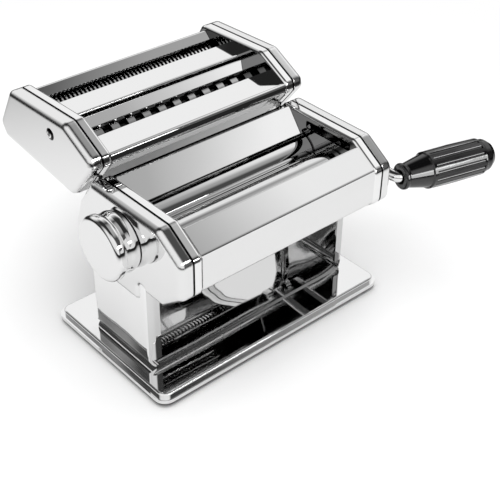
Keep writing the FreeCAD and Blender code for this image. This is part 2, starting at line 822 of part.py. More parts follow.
cam_in = side_out + s.slide_fit + s.block_thickness + s.cam_clearance
cam_out = cam_in + s.cam_thickness
knob_bush_inner = s.knob_shaft_radius + s.running_fit
knob_bush_outer = knob_bush_inner + s.knob_bush_wall
knob_back = cover_face + s.knob_gap
knob_face = knob_back + s.knob_depth
washer_out = knob_face - s.knob_wall - s.washer_gap
washer_in = washer_out - s.washer_thickness
spring_room = s.washer_radius + s.washer_room


def spiral_groove():
    """Groove of the cam: its radius falls evenly as the knob closes the gap."""
    half = s.cam_pin_radius + s.cam_groove_fit
    turn = math.radians(s.knob_turn)
    steps = 12

    def place(share, offset):
        angle = math.pi - turn * share
        radius = s.cam_pin_orbit - gap_travel * share + offset
        return Vector(radius * math.cos(angle), radius * math.sin(angle), 0)

    def side(offset):
        curve = Part.BSplineCurve()
        curve.interpolate([place(i / steps, offset) for i in range(steps + 1)])
        return curve.toShape()

    outer, inner = side(half), side(-half)
    ends = [Part.makeLine(place(share, half), place(share, -half)) for share in (0, 1)]
    face = Part.Face(Part.Wire(Part.__sortEdges__([outer, ends[1], inner, ends[0]])))
    solid = face.extrude(Vector(0, 0, s.cam_groove_depth))
    for share in (0, 1):
        at = place(share, 0)
        solid = solid.fuse(Part.makeCylinder(half, s.cam_groove_depth, at))
    start = Vector(-cam_in - s.cam_groove_depth, s.adjuster_depth, s.adjuster_axis)
    solid.Placement = FreeCAD.Placement(start, ACROSS)
    return solid


def biarc(start, start_way, end, end_way):
    """Two tangent arcs between two points with given directions."""
    chord = end - start
    ways = start_way + end_way
    bend = 2 * (1 - start_way.dot(end_way))
    reach = (math.sqrt(chord.dot(ways) ** 2 + bend * chord.dot(chord)) - chord.dot(ways)) / bend
    first = start + start_way * reach
    second = end - end_way * reach
    joint = (first + second) / 2
    arcs = []
    for low, corner, high in ((start, first, joint), (joint, second, end)):
        middle = (low + high) / 2
        turn = (corner - low).getAngle(high - corner)
        top = middle + (corner - middle) * (math.tan(turn / 4) / math.tan(turn / 2))
        arcs.append(Part.Arc(low, top, high).toShape())
    return arcs


def make_spring():
    """Coil round the knob shaft, between the knob's floor and the end washer."""
    wire = s.spring_wire_radius
    low = knob_back + s.knob_floor + wire + s.spring_seat
    high = washer_in - wire - s.spring_seat
    quarter_turns = int(round(4 * s.spring_turns))
    rise = (high - low) / quarter_turns

    def place(step):
        angle = math.pi / 2 * step
        curl = s.spring_radius
        return Vector(-low - rise * step, curl * math.cos(angle), curl * math.sin(angle))

    def way(step):
        angle = math.pi / 2 * step
        curl = s.spring_radius * math.pi / 2
        return Vector(-rise, -curl * math.sin(angle), curl * math.cos(angle)).normalize()

    arcs = []
    for step in range(quarter_turns):
        arcs += biarc(place(step), way(step), place(step + 1), way(step + 1))
    path = Part.Wire(arcs)
    section = Part.Wire([Part.Circle(place(0), way(0), wire).toShape()])
    coil = path.makePipeShell([section], True, False)
    coil.translate(Vector(0, s.adjuster_depth, s.adjuster_axis))
    group("knob_spring", [coil])
    print("knob spring: gap between turns", round(4 * rise - 2 * wire, 2), "mm")


def make_adjuster():
    make_bearing("front_bearing_left", -1)
    make_bearing("front_bearing_right", 1)

    def about_knob(outer, inner, near, far):
        return tube_ring(s.adjuster_depth, s.adjuster_axis, outer, inner, -near, -far)

    spigot = s.knob_shaft_radius - s.knob_spigot_step
    plate = about_knob(s.cam_radius, 0, cam_in, cam_out).cut(spiral_groove())
    shaft = about_knob(s.knob_shaft_radius, 0, cam_out, washer_in)
    end = about_knob(spigot, 0, washer_in, washer_out)
    group("adjuster_cam", [plate.fuse([shaft, end]).removeSplitter()])
    group("knob_washer", [about_knob(s.washer_radius, spigot, washer_in, washer_out)])
    sleeve = about_knob(knob_bush_outer, knob_bush_inner, cover_inner, cover_face)
    shoulder = about_knob(knob_bush_outer + s.knob_bush_lap, knob_bush_inner,
                          cam_out + s.knob_bush_gap, cover_inner)
    group("knob_bush", [sleeve.fuse(shoulder).removeSplitter()])
    make_knob()
    make_spring()


def make_knob():
    """Chrome cup with a bead at its face and a swelling behind it, on a core that slides along the shaft."""
    rim = s.knob_radius
    inner = s.knob_foot - s.knob_wall
    bead_end = knob_face - s.knob_bead
    swell_end = bead_end - s.knob_groove
    swell = (knob_back + swell_end) / 2
    bead_rise = rim - s.knob_waist
    core_face = knob_face - s.knob_wall
    seat = Vector(0, s.adjuster_depth, s.adjuster_axis)
    shell = new_body("knob_shell")
    outline = rounded([
        (-knob_back, inner, 0), (-knob_back, s.knob_foot, s.knob_gap),
        (-swell, s.knob_swell, 2 * s.knob_groove),
        (-swell_end, s.knob_waist, s.knob_wall), (-bead_end, s.knob_waist, s.knob_wall),
        (-bead_end - bead_rise, rim, s.knob_groove), (-knob_face, rim, s.knob_face_round),
        (-knob_face, 0, 0), (-core_face, 0, 0), (-core_face, inner, 0)])
    revolve(shell, new_sketch(shell, "XY_Plane", seat, outline))
    core = new_body("knob_core")
    bore = s.knob_shaft_radius + 2 * s.running_fit
    outline = rounded([
        (-knob_back, bore, 0), (-knob_back, inner, 0), (-core_face, inner, 0), (-core_face, spring_room, 0),
        (-knob_back - s.knob_floor, spring_room, 0), (-knob_back - s.knob_floor, bore, 0)])
    revolve(core, new_sketch(core, "XY_Plane", seat, outline))


# Crank with its turning grip

def hex_prism(across, x_low, x_high):
    corner = across / math.sqrt(3)
    points = [Vector(x_low, corner * math.cos(math.radians(60 * i)), corner * math.sin(math.radians(60 * i)))
              for i in range(7)]
    return Part.Face(Part.makePolygon(points)).extrude(Vector(x_high - x_low, 0, 0))


def make_drive():
    hub = tube_ring(0, 0, s.hub_radius, 0, hub_start, hub_end)
    socket = hex_prism(s.hex_across + 2 * s.sheet_fit, hub_end - s.hub_socket, hub_end)
    hub = hub.cut(socket)
    hub.rotate(Vector(), Vector(1, 0, 0), s.crank_drop)
    hub.translate(Vector(0, rear_axis, s.roller_height))
    group("drive_hub", [hub])
    body = tube_ring(rear_axis, s.roller_height, escutcheon_outer, escutcheon_inner,
                     cover_inner - s.escutcheon_thickness, cover_face)
    flange = tube_ring(rear_axis, s.roller_height, escutcheon_outer + s.escutcheon_lap, escutcheon_inner,
                       cover_face, cover_face + s.escutcheon_thickness)
    group("drive_escutcheon", [body.fuse(flange).removeSplitter()])


def crank_points():
    """Elbow, knee and grip direction of the rod in the crank's own frame."""
    splay = math.radians(s.crank_splay)
    grip_way = Vector(math.cos(splay), -math.sin(splay), 0)
    elbow = Vector(cover_face + s.crank_standoff, 0, 0)
    knee = elbow + Vector(0, -s.crank_arm, 0)
    return elbow, knee, grip_way


def bend_arc(corner, way_in, way_out, radius):
    """Tangent arc that rounds a corner of the rod."""
    half = way_in.getAngle(way_out) / 2
    reach = radius * math.tan(half)
    start = corner - way_in * reach
    end = corner + way_out * reach
    inward = (way_out - way_in).normalize()
    top = corner + inward * (radius / math.cos(half) - radius)
    return start, Part.Arc(start, top, end).toShape(), end


crank_seat = FreeCAD.Placement(Vector(0, rear_axis, s.roller_height),
                               FreeCAD.Rotation(Vector(1, 0, 0), s.crank_drop))
# Stations along the grip, from the shoulder of its pin
grip_tail = s.grip_length - s.grip_recess
grip_cap = grip_tail - s.grip_cap_length
pin_tip = grip_cap + s.grip_washer_inset


def make_crank():
    elbow, knee, grip_way = crank_points()
    along = Vector(1, 0, 0)
    forward = Vector(0, -1, 0)
    round_start = Vector(hub_end + s.hex_proud, 0, 0)
    elbow_in, elbow_arc, elbow_out = bend_arc(elbow, along, forward, s.crank_bend)
    knee_in, knee_arc, knee_out = bend_arc(knee, forward, grip_way, s.crank_bend)
    shoulder = knee + grip_way * s.grip_start
    path = Part.Wire([Part.makeLine(round_start, elbow_in), elbow_arc, Part.makeLine(elbow_out, knee_in),
                      knee_arc, Part.makeLine(knee_out, shoulder)])
    section = Part.Wire([Part.Circle(round_start, along, s.rod_radius).toShape()])
    rod = path.makePipeShell([section], True, False)
    pin = Part.makeCylinder(s.grip_pin_radius, pin_tip, shoulder, grip_way)
    square_end = hex_prism(s.hex_across, hub_end - s.hub_socket + s.hex_gap, round_start.x)
    group("crank_rod", [rod.fuse([square_end, pin]).removeSplitter()]).Placement = crank_seat
    washer = Part.makeCylinder(s.grip_pin_radius + s.grip_washer_lap, s.grip_washer_thickness,
                               shoulder + grip_way * pin_tip, grip_way)
    group("grip_washer", [washer]).Placement = crank_seat


def make_grip():
    """Collar, tapered neck, fluted barrel and chamfered cap, turned about the grip's own axis."""
    body = new_body("crank_grip")
    neck = s.grip_neck_length - s.grip_recess
    bore = s.grip_pin_radius + s.running_fit
    mouth = s.rod_radius + s.grip_mouth_gap
    washer_room = s.grip_pin_radius + s.grip_washer_lap + s.grip_end_gap
    washer_seat = pin_tip - s.grip_end_gap
    rim = s.grip_radius
    collar = s.grip_collar_radius
    collar_end = s.grip_collar_length - s.grip_recess
    step = s.grip_step
    outline = rounded([
        (s.grip_end_gap, bore, 0), (s.grip_end_gap, mouth, 0), (-s.grip_recess, mouth, 0),
        (-s.grip_recess, collar, 2 * step), (collar_end, collar, 2 * step),
        (collar_end, collar - step, 0), (collar_end + step, collar - step, 0),
        (neck, rim - 2 * step, 0), (neck + step, rim - step / 2, step / 2),
        ((neck + grip_cap) / 2, rim, s.grip_swell), (grip_cap - 2 * step, rim - step / 2, step),
        (grip_cap, rim - s.grip_cap_step, step),
        (grip_cap + s.grip_cap_length / 2, rim - s.grip_cap_step - step / 2, 4 * step),
        (grip_tail, rim - s.grip_cap_chamfer, 0), (grip_tail, washer_room, 0),
        (washer_seat, washer_room, 0), (washer_seat, bore, 0)])
    revolve(body, new_sketch(body, "XY_Plane", Vector(), outline))
    flute = new_sketch(body, "YZ_Plane", along_x(neck + s.grip_flute_margin),
                       [ring(0, rim + s.grip_flute_lift, s.grip_flute_radius)])
    barrel = "Sizes.grip_length - Sizes.grip_cap_length - Sizes.grip_neck_length"
    cut = pocket(body, flute, f"{barrel} - 2 * Sizes.grip_flute_margin", forward=True)
    pattern = body.newObject("PartDesign::PolarPattern", "grip_flutes")
    pattern.Originals = [cut]
    pattern.Axis = (next(f for f in body.Origin.OriginFeatures if f.Role == "X_Axis"), [""])
    pattern.Angle = 360
    pattern.Occurrences = int(s.grip_flutes)
    body.Tip = pattern
    elbow, knee, grip_way = crank_points()
    tilt = FreeCAD.Rotation(Vector(0, 0, 1), -s.crank_splay)
    seat = FreeCAD.Placement(knee + grip_way * s.grip_start, tilt)
    body.Placement = crank_seat.multiply(seat)


# Cutter attachment

tongue_x = side_out + s.tongue_standoff
tongue_near = s.top_back + s.tongue_setback
tongue_far = tongue_near + s.tongue_wall
between_cutters = (s.wide_middle + s.fine_middle) / 2
cutter_rods = ((s.cutter_foot, s.cutter_foot_level + s.cutter_rod_lift),
               (between_cutters, s.cutter_foot_level + s.cutter_rod_lift + s.cutter_rod_radius),
               (s.cutter_crest + s.cutter_rod_radius, s.fine_axis - s.cutter_rod_radius))
cutter_rod_spigot = s.cutter_rod_radius - s.cutter_rod_shoulder
cutter_bush_outer = s.cutter_journal_radius + s.running_fit + s.cutter_bush_wall
cutter_bush_end = side_out + s.cutter_bush_length - s.cutter_bush_gap
cutter_drive_end = cover_face - s.cutter_drive_inset


def cutter_axes():
    """Axes of the four cutter rollers by name: depth and height."""
    half = s.cutter_spacing / 2
    return {
        "wide_cutter_front": (s.wide_middle - half, s.wide_axis),
        "wide_cutter_rear": (s.wide_middle + half, s.wide_axis),
        "fine_cutter_front": (s.fine_middle - half, s.fine_axis),
        "fine_cutter_rear": (s.fine_middle + half, s.fine_axis),
    }


def cutter_profile(width, side_gap, first, driven):
    """Turned line of one roller: a disc in every second place, so two rollers interleave."""
    half = side_in - s.cutter_end_gap
    places = int((2 * half - 2) // width)
    start = -places * width / 2
    left_end = -side_out - s.cutter_bush_length - s.cutter_gear_width
    right_end = cutter_drive_end if driven else side_in + s.cutter_bush_length
    points = [(left_end, s.cutter_journal_radius), (-half, s.cutter_journal_radius), (-half, s.disc_root)]
    for place in range(first, places, 2):
        low = start + place * width + side_gap
        high = start + (place + 1) * width - side_gap
        points += [(low, s.disc_root), (low, s.disc_radius), (high, s.disc_radius), (high, s.disc_root)]
    points += [(half, s.disc_root), (half, s.cutter_journal_radius), (right_end, s.cutter_journal_radius)]
    return points


def make_cutter_rollers():
    axes = cutter_axes()
    module = s.cutter_spacing / s.cutter_gear_teeth
    tooth = math.pi / s.cutter_gear_teeth
    gear_low = -side_out - s.cutter_bush_length - s.cutter_gear_width
    kinds = (("wide", s.wide_width, s.wide_side_gap), ("fine", s.fine_width, s.fine_side_gap))
    for kind, width, gap in kinds:
        for place, first in (("front", 0), ("rear", 1)):
            label = f"{kind}_cutter_{place}"
            depth, height = axes[label]
            driven = place == "front"
            roller = turned(label, depth, height, cutter_profile(width, gap, first, driven))
            if driven:
                corners = [(s.cutter_socket * math.cos(math.radians(60 * i)),
                            s.cutter_socket * math.sin(math.radians(60 * i)), 0) for i in range(6)]
                mouth = Vector(depth, height, cutter_drive_end)
                socket = new_sketch(roller, "YZ_Plane", mouth, rounded(corners))
                pocket(roller, socket, "Sizes.hub_socket")
            phase = 0 if place == "front" else math.pi + tooth
            make_gear(f"{label}_gear", depth, height, gear_low, "Sizes.cutter_gear_width",
                      gear_outline(s.cutter_gear_teeth, module, s.cutter_gear_backlash, phase),
                      s.cutter_journal_radius)


def make_cutter_frame():
    outline = cutter_outline()
    axes = cutter_axes()
    holes = [ring(depth, height, cutter_bush_outer) for depth, height in axes.values()]
    holes += [ring(depth, height, cutter_rod_spigot) for depth, height in cutter_rods]
    make_tray("cutter_left_side_plate", outline, -1, holes)
    make_tray("cutter_right_side_plate", outline, 1, holes)
    screw_hole = [ring(s.screw_depth, s.screw_level, s.screw_shank)]
    sockets = [ring(*axes[name], s.cutter_journal_radius + s.cutter_drive_gap)
               for name in ("wide_cutter_front", "fine_cutter_front")]
    make_cover("cutter_left_cover", outline, -1, screw_hole)
    make_cover("cutter_right_cover", outline, 1, screw_hole + sockets)
    inner = s.cutter_journal_radius + s.running_fit
    group("cutter_bushes", [
        tube_ring(depth, height, cutter_bush_outer, inner, side * side_in, side * cutter_bush_end)
        for depth, height in axes.values() for side in (-1, 1)])
    rods = []
    for depth, height in cutter_rods:
        rod = tube_ring(depth, height, s.cutter_rod_radius, 0, -side_in, side_in)
        spigot_end = side_out + s.cutter_rod_proud
        spigot = tube_ring(depth, height, cutter_rod_spigot, 0, -spigot_end, spigot_end)
        rods.append(rod.fuse(spigot).removeSplitter())
    group("cutter_tie_rods", rods)
    make_screws()


def make_screws():
    """Domed screw with a small round recess, one in each end cover of the attachment."""
    dome = (s.screw_radius ** 2 + s.screw_height ** 2) / (2 * s.screw_height)
    screws = []
    for side in (-1, 1):
        head = Part.makeSphere(dome, Vector(0, 0, s.screw_height - dome))
        head = head.common(Part.makeCylinder(2 * s.screw_radius, 2 * s.screw_height))
        length = s.cover_wall + s.screw_reach
        shank = Part.makeCylinder(s.screw_shank, length, Vector(0, 0, -length))
        dimple = Part.makeCylinder(s.screw_dimple, s.screw_height,
                                   Vector(0, 0, s.screw_height - s.screw_dimple_depth))
        screw = head.fuse(shank).cut(dimple).removeSplitter()
        screw.rotate(Vector(), Vector(0, 1, 0), 90 * side)
        screw.translate(Vector(side * cover_face, s.screw_depth, s.screw_level))
        screws.append(screw)
    group("cutter_cover_screws", screws)


def make_cutter_panels():
    wide_front = s.wide_middle - s.cutter_slot_half
    wide_rear = s.wide_middle + s.cutter_slot_half
    wide_level = s.wide_axis + s.wide_panel_lift
    fine_front = s.fine_middle - s.cutter_slot_half
    fine_rear = s.fine_middle + s.cutter_slot_half
    fine_level = s.fine_axis + s.fine_panel_lift
    ridge = wide_rear + s.ridge_run
    ridge_level = fine_level - s.ridge_drop
    edge = s.nose_in
    make_panel("cutter_front_panel", [
        (s.cutter_heel + edge, s.cutter_heel_level + s.panel_wall, 0),
        (s.cutter_front + edge, s.cutter_front_level - s.panel_inset, 3 * s.panel_wall),
        (s.cutter_nose + edge, wide_level - s.nose_drop, 2.5 * s.panel_wall),
        (wide_front, wide_level, 0)][::-1])
    make_panel("cutter_middle_panel", [
        (wide_rear, wide_level, 0), (ridge, ridge_level, 1.4 * s.panel_wall),
        (ridge + edge, ridge_level - s.ridge_fold, 0)][::-1])
    strip_start = ridge + s.ridge_gap
    make_panel("cutter_strip_panel", [
        (strip_start, fine_level - s.ridge_fold, 0), (strip_start, fine_level, 1.4 * s.panel_wall),
        (fine_front, fine_level, 0)][::-1])
    rear_level = fine_level + s.rear_edge_lift
    make_panel("cutter_rear_panel", [
        (fine_rear, rear_level, 0),
        (fine_rear + s.rear_lip_run, rear_level + s.rear_lip_lift, 2.5 * s.panel_wall),
        (s.cutter_back - s.panel_wall, s.cutter_back_level, 5 * s.panel_wall),
        (s.cutter_tail - s.panel_wall, s.cutter_tail_level + 1.5 * s.panel_wall, 0)][::-1])


def make_hanger():
    """Tongues on the attachment's lips that drop into slots in the body's side plates."""
    way = Vector(s.cutter_heel - s.cutter_front, s.cutter_heel_level - s.cutter_front_level, 0)

    def slope(depth):
        return s.cutter_front_level + (depth - s.cutter_front) * way.y / way.x

    low = slope(tongue_near) - s.tongue_depth
    outline = rounded([
        (tongue_near, low, s.tongue_round), (tongue_far, low, s.tongue_round),
        (tongue_far, slope(tongue_far), 0), (tongue_near, slope(tongue_near), 0)])
    tongues = []
    for side in (-1, 1):
        start = station(side, tongue_x, tongue_x + s.tongue_width)
        tongues.append(prism_x(outline, start, start + s.tongue_width))
    group("hanger_tongues", tongues)


make_base()
make_feet()
make_stand()
make_tie_rods()
make_sides()
make_panels()
make_rollers()
make_adjuster()
make_drive()
make_crank()
make_grip()
make_cutter_frame()
make_cutter_rollers()
make_cutter_panels()
make_hanger()
doc.recompute()

faults = [made.Name for made in doc.Objects if {"Invalid", "Error"} & set(made.State)]
features = [made for made in doc.Objects if made.isDerivedFrom("PartDesign::Feature")]
faults += [made.Name for made in features if made.Shape.isNull()]
faults += [label for label, made in nodes.items() if made.Shape.isNull() or not made.Shape.isValid()]
faults += [label for label, made in nodes.items() if not made.Shape.Solids]
if faults:
    raise SystemExit("failed: " + ", ".join(faults))

os.makedirs("parts", exist_ok=True)
for label, made in nodes.items():
    made.Shape.exportStep(f"parts/{label}.step")
print(len(nodes), "sub-parts written")
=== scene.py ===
# %% [markdown]
# # A hand-cranked pasta machine in polished steel
# The solids come from a packed CAD model, which is loaded here as a fixed frame in metres.
# This lesson adds what a CAD model lacks: a studio, a camera and finishes. Almost every surface of
# the real machine is a mirror, so the studio is as much a part of its look as the materials are.

# %% Load the packed model
import json
import math

import bpy
from mathutils import Matrix, Vector


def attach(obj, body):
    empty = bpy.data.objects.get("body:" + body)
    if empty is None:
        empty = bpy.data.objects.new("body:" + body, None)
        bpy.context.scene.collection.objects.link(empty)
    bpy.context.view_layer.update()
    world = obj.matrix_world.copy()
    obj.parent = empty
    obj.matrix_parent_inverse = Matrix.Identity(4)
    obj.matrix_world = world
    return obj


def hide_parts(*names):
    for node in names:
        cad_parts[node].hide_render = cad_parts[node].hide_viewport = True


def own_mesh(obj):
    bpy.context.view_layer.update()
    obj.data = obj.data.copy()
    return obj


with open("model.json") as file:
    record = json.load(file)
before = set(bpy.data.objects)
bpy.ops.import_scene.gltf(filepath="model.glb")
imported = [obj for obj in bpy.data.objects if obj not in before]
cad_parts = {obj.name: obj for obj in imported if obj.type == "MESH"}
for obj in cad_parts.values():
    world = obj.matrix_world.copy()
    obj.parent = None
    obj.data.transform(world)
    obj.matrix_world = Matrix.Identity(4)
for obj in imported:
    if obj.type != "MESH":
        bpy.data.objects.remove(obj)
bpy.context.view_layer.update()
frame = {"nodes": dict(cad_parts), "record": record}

nodes = frame["nodes"]

# %% [markdown]
# ## Camera
# The machine is seen from above its knob side, so that both the feed slots and the knob show.
# The angles and the focal length were fitted to corners of the base, the stand and the side plates.
# A camera can be aimed with a constraint, but building its axes by hand keeps the slight roll exact.

# %% Camera at the photograph's angle
IMAGE_SIDE = 500.0
FOCAL_PIXELS = 1036.4
SENSOR_WIDTH = 36.0
VIEW_AZIMUTH = math.radians(-41.97)
VIEW_ELEVATION = math.radians(35.98)
VIEW_ROLL = math.radians(1.0)
CAMERA_PLACE = Vector((-0.3860, -0.4595, 0.4834))
FARTHEST_SEEN = 50

level = math.cos(VIEW_ELEVATION)
back = Vector((
    math.sin(VIEW_AZIMUTH) * level, -math.cos(VIEW_AZIMUTH) * level, math.sin(VIEW_ELEVATION)))
level_right = Vector((0, 0, 1)).cross(back).normalized()
level_up = back.cross(level_right)
right = level_right * math.cos(VIEW_ROLL) + level_up * math.sin(VIEW_ROLL)
up = level_up * math.cos(VIEW_ROLL) - level_right * math.sin(VIEW_ROLL)
camera_turn = Matrix((right, up, back)).transposed().to_4x4()

bpy.ops.object.select_all(action="DESELECT")
bpy.ops.object.camera_add()
camera = bpy.context.object
camera.name = "studio_camera"
camera.data.sensor_fit = "HORIZONTAL"
camera.data.sensor_width = SENSOR_WIDTH
camera.data.lens = FOCAL_PIXELS / IMAGE_SIDE * SENSOR_WIDTH
camera.data.clip_end = FARTHEST_SEEN
camera.matrix_world = Matrix.Translation(CAMERA_PLACE) @ camera_turn
bpy.context.scene.camera = camera
print("camera lens", round(camera.data.lens, 2), "mm at", tuple(CAMERA_PLACE))

# %% [markdown]
# ## Tools for node trees
# The studio and the finishes are trees of shader nodes. Nodes can be placed by hand in the editor, or
# one by one in a script, but then the wiring hides the idea behind it. These tools place a math node,
# wire it and give back its result, so that the rest of the lesson reads like a sum.

# %% Results of math nodes
MEASURES = ("DOT_PRODUCT", "LENGTH")


def give(tree, value, socket):
    """Link a result to a socket, or set a plain value on it."""
    if isinstance(value, bpy.types.NodeSocket):
        tree.links.new(value, socket)
    else:
        socket.default_value = value


def math_result(tree, operation, *given):
    """Result of a Math node."""
    node = tree.nodes.new("ShaderNodeMath")
    node.operation = operation
    for value, socket in zip(given, node.inputs):
        give(tree, value, socket)
    return node.outputs["Value"]


def vector_result(tree, operation, *given):
    """Result of a Vector Math node: a number where it measures, and otherwise a vector."""
    node = tree.nodes.new("ShaderNodeVectorMath")
    node.operation = operation
    for value, socket in zip(given, node.inputs):
        give(tree, value, socket)
    return node.outputs["Value" if operation in MEASURES else "Vector"]


print("math tools:", ", ".join(tool.__name__ for tool in (give, math_result, vector_result)))

# %% [markdown]
# ## Spread and split
# Two more tools come back in many finishes. One turns a range of values into another range, which is
# how every soft edge on the machine is drawn. The other takes a vector apart, because most marks follow
# one axis. A colour ramp could draw the edges too, but its ends can't be linked to sockets.

# %% Range and axis tools
def spread(tree, value, start, end, low=0.0, high=1.0, smooth=False):
    """Number that runs from low to high while a value runs from start to end."""
    node = tree.nodes.new("ShaderNodeMapRange")
    if smooth:
        node.interpolation_type = "SMOOTHSTEP"
    given = {"Value": value, "From Min": start, "From Max": end, "To Min": low, "To Max": high}
    for name, item in given.items():
        give(tree, item, node.inputs[name])
    return node.outputs["Result"]


def split(tree, place):
    """X, Y and Z of a vector."""
    node = tree.nodes.new("ShaderNodeSeparateXYZ")
    give(tree, place, node.inputs["Vector"])
    return node.outputs


print("range and axis tools:", ", ".join(tool.__name__ for tool in (spread, split)))

# %% [markdown]
# ## Studio
# Chrome has no colour of its own: a flat sheet shows the one patch of the room that it points at,
# and a bent edge shows a whole sweep of the room squeezed into a line. A dark room with a few large
# soft boxes and one bright wall therefore gives pale sheets with crisp black lines along every bend.
# Area lights could be the boxes, but in the world they have soft edges and cast no sharp shadows.

# %% Plan of the soft boxes
# Bright wall behind the machine: grey against height, the side that it lies on, and its soft ends
WALL = (
    (0.12, 0.03), (0.22, 0.45), (0.32, 0.96), (0.64, 0.97), (0.72, 0.55), (0.82, 0.12), (0.90, 0.03))
WALL_SIDE = (0.50, 0.866, 0.0)
WALL_ENDS = ((0.30, 0.08), (0.60, 1.00))
# Soft boxes: the way to the middle of each, and grey against the cosine from there
SOFT_BOXES = {
    "crank_side": ((0.76, -0.10, 0.64), (
        (0.80, 0.03), (0.842, 0.07), (0.89, 0.37), (0.93, 0.46), (0.945, 0.63), (0.967, 0.99))),
    "knob_side": ((-0.86, -0.25, 0.45), ((0.72, 0.03), (0.84, 0.50), (0.92, 0.90))),
    "front": ((-0.35, -0.82, 0.45), ((0.74, 0.03), (0.82, 0.60), (0.88, 0.95))),
    "low_front": ((0.50, -0.86, 0.10), ((0.90, 0.03), (0.97, 0.12))),
}
print("soft boxes:", ", ".join(SOFT_BOXES))

# %% [markdown]
# ## World of soft boxes
# A picture of such a room could be wrapped round the scene, but a few ramps need no file, and a number
# turns or dims each of them. The cosine from the middle of a box drives its ramp, and at each place of
# the sky the brightest box wins.

# %% Sky that mirrors see
UPWARDS = (0.0, 0.0, 1.0)


def grey_ramp(tree, value, steps):
    """Grey that follows a value through a list of (value, grey) steps."""
    ramp = tree.nodes.new("ShaderNodeValToRGB")
    stops = ramp.color_ramp.elements
    while len(stops) < len(steps):
        stops.new(0.5)
    for stop, (position, grey) in zip(stops, steps):
        stop.position = position
        stop.color = (grey, grey, grey, 1)
    tree.links.new(value, ramp.inputs["Fac"])
    return ramp.outputs["Color"]


scene = bpy.context.scene
scene.view_settings.view_transform = "Standard"
world = bpy.data.worlds.new("studio_world")
scene.world = world
world.use_nodes = True
sky_tree = world.node_tree
sky_tree.nodes.clear()
sky_place = sky_tree.nodes.new("ShaderNodeTexCoord").outputs["Generated"]
wall = grey_ramp(sky_tree, vector_result(sky_tree, "DOT_PRODUCT", sky_place, UPWARDS), WALL)
ends = grey_ramp(sky_tree, vector_result(sky_tree, "DOT_PRODUCT", sky_place, WALL_SIDE), WALL_ENDS)
sky = vector_result(sky_tree, "MULTIPLY", wall, ends)
for direction, steps in SOFT_BOXES.values():
    nearness = vector_result(sky_tree, "DOT_PRODUCT", sky_place, direction)
    sky = vector_result(sky_tree, "MAXIMUM", sky, grey_ramp(sky_tree, nearness, steps))
print("sky:", len(sky_tree.nodes), "nodes")

# %% [markdown]
# ## Backdrop
# Behind the machine a plain white backdrop is wanted, and not the boxes. White paper could be hung up
# there, but the mirrors would see it too. The Light Path node shows the white to the camera alone.

# %% Sky that the camera sees
BACKDROP_GREY = 1.0

sky_light = sky_tree.nodes.new("ShaderNodeBackground")
sky_backdrop = sky_tree.nodes.new("ShaderNodeBackground")
sky_path = sky_tree.nodes.new("ShaderNodeLightPath")
sky_mix = sky_tree.nodes.new("ShaderNodeMixShader")
sky_output = sky_tree.nodes.new("ShaderNodeOutputWorld")
sky_backdrop.inputs["Color"].default_value = (BACKDROP_GREY, BACKDROP_GREY, BACKDROP_GREY, 1)
sky_tree.links.new(sky, sky_light.inputs["Color"])
sky_tree.links.new(sky_path.outputs["Is Camera Ray"], sky_mix.inputs["Fac"])
sky_tree.links.new(sky_light.outputs["Background"], sky_mix.inputs[1])
sky_tree.links.new(sky_backdrop.outputs["Background"], sky_mix.inputs[2])
sky_tree.links.new(sky_mix.outputs["Shader"], sky_output.inputs["Surface"])
print("world:", world.name, "with a backdrop of grey", BACKDROP_GREY)

# %% [markdown]
# ## Table
# The machine stands on a pale table that runs on without an edge. A curved paper backdrop could be
# modelled, but one wide plane is enough, because its finish, made further on, does the fading.
# It lies a hair under the feet, so that the two faces never fight for the same place.

# %% Floor
FLOOR_SIDE = 8.0
FLOOR_DROP = 0.0002

bpy.ops.object.select_all(action="DESELECT")
bpy.ops.mesh.primitive_plane_add(size=FLOOR_SIDE, location=(0, 0, -FLOOR_DROP))
floor = bpy.context.object
floor.name = "studio_floor"
print("floor", FLOOR_SIDE, "m wide")

# %% [markdown]
# ## Overhead light
# A wide light high above draws the soft shadow round the base. A sun lamp would draw a hard one.
# Mirrors must not see it, or every sheet that faces up would turn plain white, so it is hidden from
# glossy rays and lights only the table and the plastic.

# %% Soft overhead light
OVERHEAD_PLACE = (-0.4, -0.3, 2.2)
OVERHEAD_SIDE = 3.0
OVERHEAD_POWER = 60.0

bpy.ops.object.select_all(action="DESELECT")
bpy.ops.object.light_add(type="AREA", location=OVERHEAD_PLACE)
overhead = bpy.context.object
overhead.name = "overhead_light"
overhead.data.shape = "SQUARE"
overhead.data.size = OVERHEAD_SIDE
overhead.data.energy = OVERHEAD_POWER
overhead.visible_glossy = False
overhead.visible_camera = False
print("overhead light", OVERHEAD_POWER, "W, unseen by the mirrors")

# %% [markdown]
# ## Window
# A small bright panel low in front of the machine does what a window would do in a room. It draws thin
# white lines along the chrome bends. Brighter soft boxes would whiten whole sheets instead.
# It is kept off matt surfaces, where it would only add a second shadow.

# %% Window light
PANEL_AIM = Vector((0.1, 0.0, 0.1))
PANEL_DISTANCE = 1.5
WINDOW_WAY = Vector((0.14, -0.92, 0.35)).normalized()
WINDOW_SIZE = (1.10, 0.18)
WINDOW_POWER = 5.0


def add_panel(name, way, size, power):
    """Flat light some way off the machine, turned towards it."""
    bpy.ops.object.select_all(action="DESELECT")
    bpy.ops.object.light_add(type="AREA", location=PANEL_AIM + way * PANEL_DISTANCE)
    panel = bpy.context.object
    panel.name = name
    panel.data.shape = "RECTANGLE"
    panel.data.size, panel.data.size_y = size
    panel.data.energy = power
    panel.rotation_euler = way.to_track_quat("Z", "Y").to_euler()
    panel.visible_camera = False
    return panel


window = add_panel("window_light", WINDOW_WAY, WINDOW_SIZE, WINDOW_POWER)
window.visible_diffuse = False
print("window light", WINDOW_POWER, "W at", [round(c, 2) for c in window.location])

